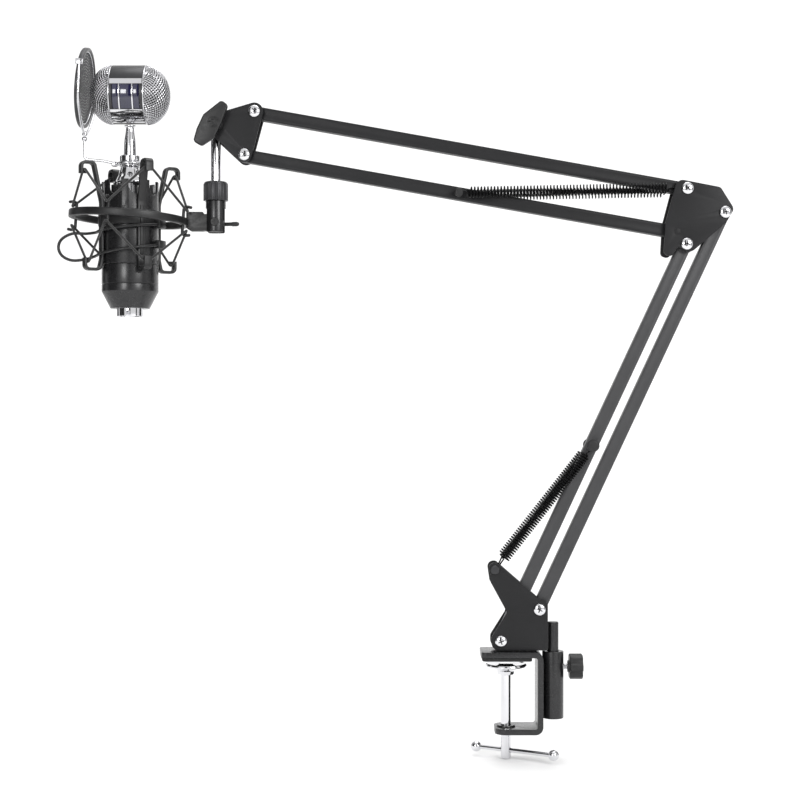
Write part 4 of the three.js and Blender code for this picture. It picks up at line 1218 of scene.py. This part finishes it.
# a square mesh pressed over a dome: plane distance becomes distance along the dome's curve
def makeGrille(name, side):
    r, length, cell = headFacts["radius"] - 0.25, headFacts["cap"] - 0.3, headFacts["cell"]
    reach = 0.5 * pi * sqrt((r * r + length * length) / 2)
    count = int(reach / cell) + 2
    points, index, faces = [], {}, []

    def flat(i, j):
        return (i - j) * cell * sqrt(0.5), (i + j) * cell * sqrt(0.5)

    def spot(i, j):
        if (i, j) not in index:
            u, v = flat(i, j)
            angle = pi / 2 * min(hypot(u, v), reach) / reach
            turn = atan2(v, u)
            radial = r * sin(angle)
            index[(i, j)] = len(points)
            out = headFacts["half"] + 0.3 + length * cos(angle)
            points.append(Vector((side * out, radial * cos(turn), radial * sin(turn))) * mm)
        return index[(i, j)]

    span = range(-count, count)
    for i in span:
        for j in span:
            corners = [(i, j), (i + 1, j), (i + 1, j + 1), (i, j + 1)]
            if all(hypot(*flat(a, b)) < reach for a, b in corners):
                faces.append([spot(a, b) for a, b in corners])
    lattice = fromPoints("lattice", points, faces)
    frameWire = lattice.modifiers.new("wires", "WIREFRAME")
    frameWire.thickness = headFacts["gauge"] * mm
    frameWire.use_replace = True
    frameWire.use_even_offset = True
    applied(lattice)
    shifted(lattice, micX, 0, headZ)
    rim = turned("rim", soft(tubeProfile(r - 0.9, r + 0.2, 0.1, 1.3), 0.3), segments=120)
    shifted(spun(rim, 90 * side, "Y"), micX + side * (headFacts["half"] + 0.1), 0, headZ)
    dressed(joined(name, [lattice, rim]), "silver_mesh", "cage", [nodeOf(name)], sharp=60)
    dome = domeProfile(r - 1.3, length - 1.1, 0, 16)
    inner = turned(name + "Foam", [(0, 0.4), (r - 1.3, 0.4), *dome[1:], (0, length - 1.1)], segments=64)
    shifted(spun(inner, 90 * side, "Y"), micX + side * (headFacts["half"] + 0.4), 0, headZ)
    dressed(inner, "rubber", "cage", material=liner)


makeBand()
makeGrille("grilleLeft", -1)
makeGrille("grilleRight", 1)
for nodeName, slotName in (("capsule", "brass"), ("mic_board", "board")):
    carried = frame["nodes"][nodeName]
    carried.data.materials.clear()
    carried.data.materials.append(looks[slotName])
print("microphone head ready")


# pop filter
pop = {"x": -335.1, "z": 454.6, "radius": 31.6, "rim": 3.0, "lean": 5.0, "forkX": -335.5,
       "forkZ": 414.0, "pitch": 1.15, "gauge": 0.3, "wire": 1.1, "ball": 2.2, "loopZ": 394.0,
       "loop": 9.85}


def stand(obj):
    return shifted(spun(obj, pop["lean"], "Y"), pop["x"], 0, pop["z"])


def makeRim():
    r, inner = pop["radius"], pop["radius"] - pop["rim"]
    rim = turned("popRim", soft(tubeProfile(inner, r, -2, 2), 0.8), axis="X", segments=144)
    dressed(stand(rim), "dark_metal", "pop_filter", ["pop_rim"])
    band = turned("popHoop", soft(tubeProfile(inner - 0.8, inner + 0.3, -1.1, 1.1), 0.3), axis="X",
                  segments=120)
    dressed(stand(band), "silver_wire", "pop_filter")


def makeGauze():
    inner = pop["radius"] - pop["rim"] - 0.2
    g = pop["gauge"] / 2
    points, faces = [], []
    count = int(inner / pop["pitch"])
    for k in range(-count, count + 1):
        offset = k * pop["pitch"]
        reach = sqrt(max(0.1, inner * inner - offset * offset))
        for upright in (False, True):
            steps = max(2, int(reach / pop["pitch"]))
            start = len(points)
            for s in range(steps + 1):
                along = -reach + 2 * reach * s / steps
                weave = g * (1 if (s + k + upright) % 2 else -1)
                for dx, dside in ((-g, -g), (g, -g), (g, g), (-g, g)):
                    side = offset + dside
                    spot = (weave + dx, side, along) if upright else (weave + dx, along, side)
                    points.append(Vector(spot) * mm)
            for s in range(steps):
                a, b = start + 4 * s, start + 4 * s + 4
                for e in range(4):
                    f = (e + 1) % 4
                    faces.append((a + e, a + f, b + f, b + e))
            faces.append((start + 3, start + 2, start + 1, start))
            end = start + 4 * steps
            faces.append((end, end + 1, end + 2, end + 3))
    dressed(stand(fromPoints("popGauze", points, faces)), "filter_mesh", "pop_filter", ["pop_mesh"],
            sharp=50)


def makeFork():
    rimZ = pop["z"] - pop["forkZ"]
    side = pop["radius"] + 1.4
    parts = []
    for sign in (-1, 1):
        bend = ((0.6, 4), (5, 5), (13, 8.5), (22, 15.5), (30, 23.5), (side, 30), (side, rimZ - 6),
                (side, rimZ + 14.5))
        parts.append(wire("prong", through([(0, sign * y, z) for y, z in bend], 8), pop["wire"], 14))
        clip = soften(blockOf("clip", (-2.7, 2.7), (sign * side - 1.3, sign * side + 1.3),
                              (rimZ + 12.0, rimZ + 16.6)), 0.4 * mm)
        parts.append(clip)
    parts.append(turned("joint", soft([(0, 2.6), (1.9, 2.6), (2.2, 3.2), (2.2, 5), (1.4, 6), (0, 6)],
                                      0.3), segments=36))
    fork = shifted(spun(joined("popFork", parts), pop["lean"] / 2, "Y"), pop["forkX"], 0, pop["forkZ"])
    dressed(fork, "silver_wire", "pop_filter", ["pop_fork"], sharp=45)


def makeHolder():
    x, z = pop["forkX"], pop["forkZ"]
    loopZ, loopR, gauge, r = pop["loopZ"], pop["loop"], pop["wire"], pop["ball"]
    ring = wire("ring", [around(micX, loopR, 6 * k, loopZ) for k in range(60)], gauge, 14, True)
    path = cornered([(x, 0, z), (x, 0, z - 16.2), (x + 15, 0, loopZ + 2.6), (micX - loopR, 0, loopZ)],
                    3.5)
    arm = wire("arm", path, gauge, 14)
    knuckle = turned("knuckle", ballProfile(r, z, 16), (x, 0, 0), segments=36)
    lug = soften(blockOf("lug", (micX - 14.5, micX - 10.2), (-2.2, 2.2), (loopZ - 1.8, loopZ + 1.8)),
                 0.4 * mm)
    dressed(joined("popHolder", [ring, arm, knuckle, lug]), "silver_wire", "pop_arm", ["pop_wire"],
            sharp=45)


makeRim()
makeGauze()
makeFork()
makeHolder()
print("pop filter ready")


# floor, light and air
studio = {"floorZ": -0.0795, "back": 1.6, "up": 3.0, "bend": 0.8, "paleness": 0.9, "air": 0.85,
          "flagTone": 0.015, "flagHigh": 2.4, "flagLift": 0.9, "centreX": -0.09}


def makeStudio():
    z = studio["floorZ"]
    back, up, bend = studio["back"], studio["up"], studio["bend"]
    outline = [(-2.6, z), (back - bend, z)]
    for k in range(1, 17):
        angle = pi / 2 * k / 16
        outline.append((back - bend + bend * sin(angle), z + bend - bend * cos(angle)))
    outline.append((back, up))
    points, faces = [], []
    for y, height in outline:
        points += [Vector((-4, y, height)), Vector((4, y, height))]
    for i in range(len(outline) - 1):
        faces.append((2 * i, 2 * i + 1, 2 * i + 3, 2 * i + 2))
    floor = fromPoints("floor", points, faces)
    pale = finish("paleFloor", (studio["paleness"],) * 3, 0.8, spread=0.01, bump=0.02)
    floor.data.materials.append(pale)
    floor.data.shade_smooth()
    world = bpy.data.worlds.new("air")
    world.use_nodes = True
    sky = world.node_tree.nodes["Background"]
    sky.inputs["Color"].default_value = (1, 1, 1, 1)
    sky.inputs["Strength"].default_value = studio["air"]
    scene.world = world
    scene.view_settings.view_transform = "Standard"


# dark cards round the set, seen only in reflections
def makeFlag(name, azimuth, distance, width):
    centre, high = Vector((studio["centreX"], 0, studio["flagLift"])), studio["flagHigh"]
    angle = radians(azimuth)
    outward = Vector((sin(angle), -cos(angle), 0))
    across = Vector((outward.y, -outward.x, 0))
    corners = [centre + outward * distance + across * (a * width / 2) + Vector((0, 0, b * high / 2))
               for a, b in ((-1, -1), (1, -1), (1, 1), (-1, 1))]
    mesh = bpy.data.meshes.new(name)
    mesh.from_pydata([tuple(c) for c in corners], [], [(0, 1, 2, 3)])
    flag = fromMesh(name, mesh)
    flag.data.materials.append(flagFinish)
    flag.visible_camera = False
    flag.visible_shadow = False
    flag.visible_diffuse = False


def makeLamp(name, place, aim, size, power):
    data = bpy.data.lights.new(name, "AREA")
    data.shape = "SQUARE"
    data.size = size
    data.energy = power
    lamp = bpy.data.objects.new(name, data)
    lamp.location = place
    lamp.rotation_euler = (Vector(aim) - Vector(place)).to_track_quat("-Z", "Y").to_euler()
    scene.collection.objects.link(lamp)


makeStudio()
flagFinish = finish("flagBlack", (studio["flagTone"],) * 3, 0.9, bump=0.02)
for azimuth, distance, width in ((0, 2.2, 0.55), (-70, 1.5, 1.3), (-118, 1.5, 0.7), (62, 1.7, 0.35),
                                 (112, 1.6, 0.8)):
    makeFlag("flag%d" % azimuth, azimuth, distance, width)
aim = (studio["centreX"], 0, 0.2)
for name, place, size, power in (("keyLight", (1.1, -1.5, 0.9), 0.7, 16),
                                 ("fillLight", (-0.75, -1.7, 0.6), 0.45, 7),
                                 ("topLight", (0.1, 0.3, 1.9), 1.2, 14)):
    makeLamp(name, place, aim, size, power)
print("studio ready")
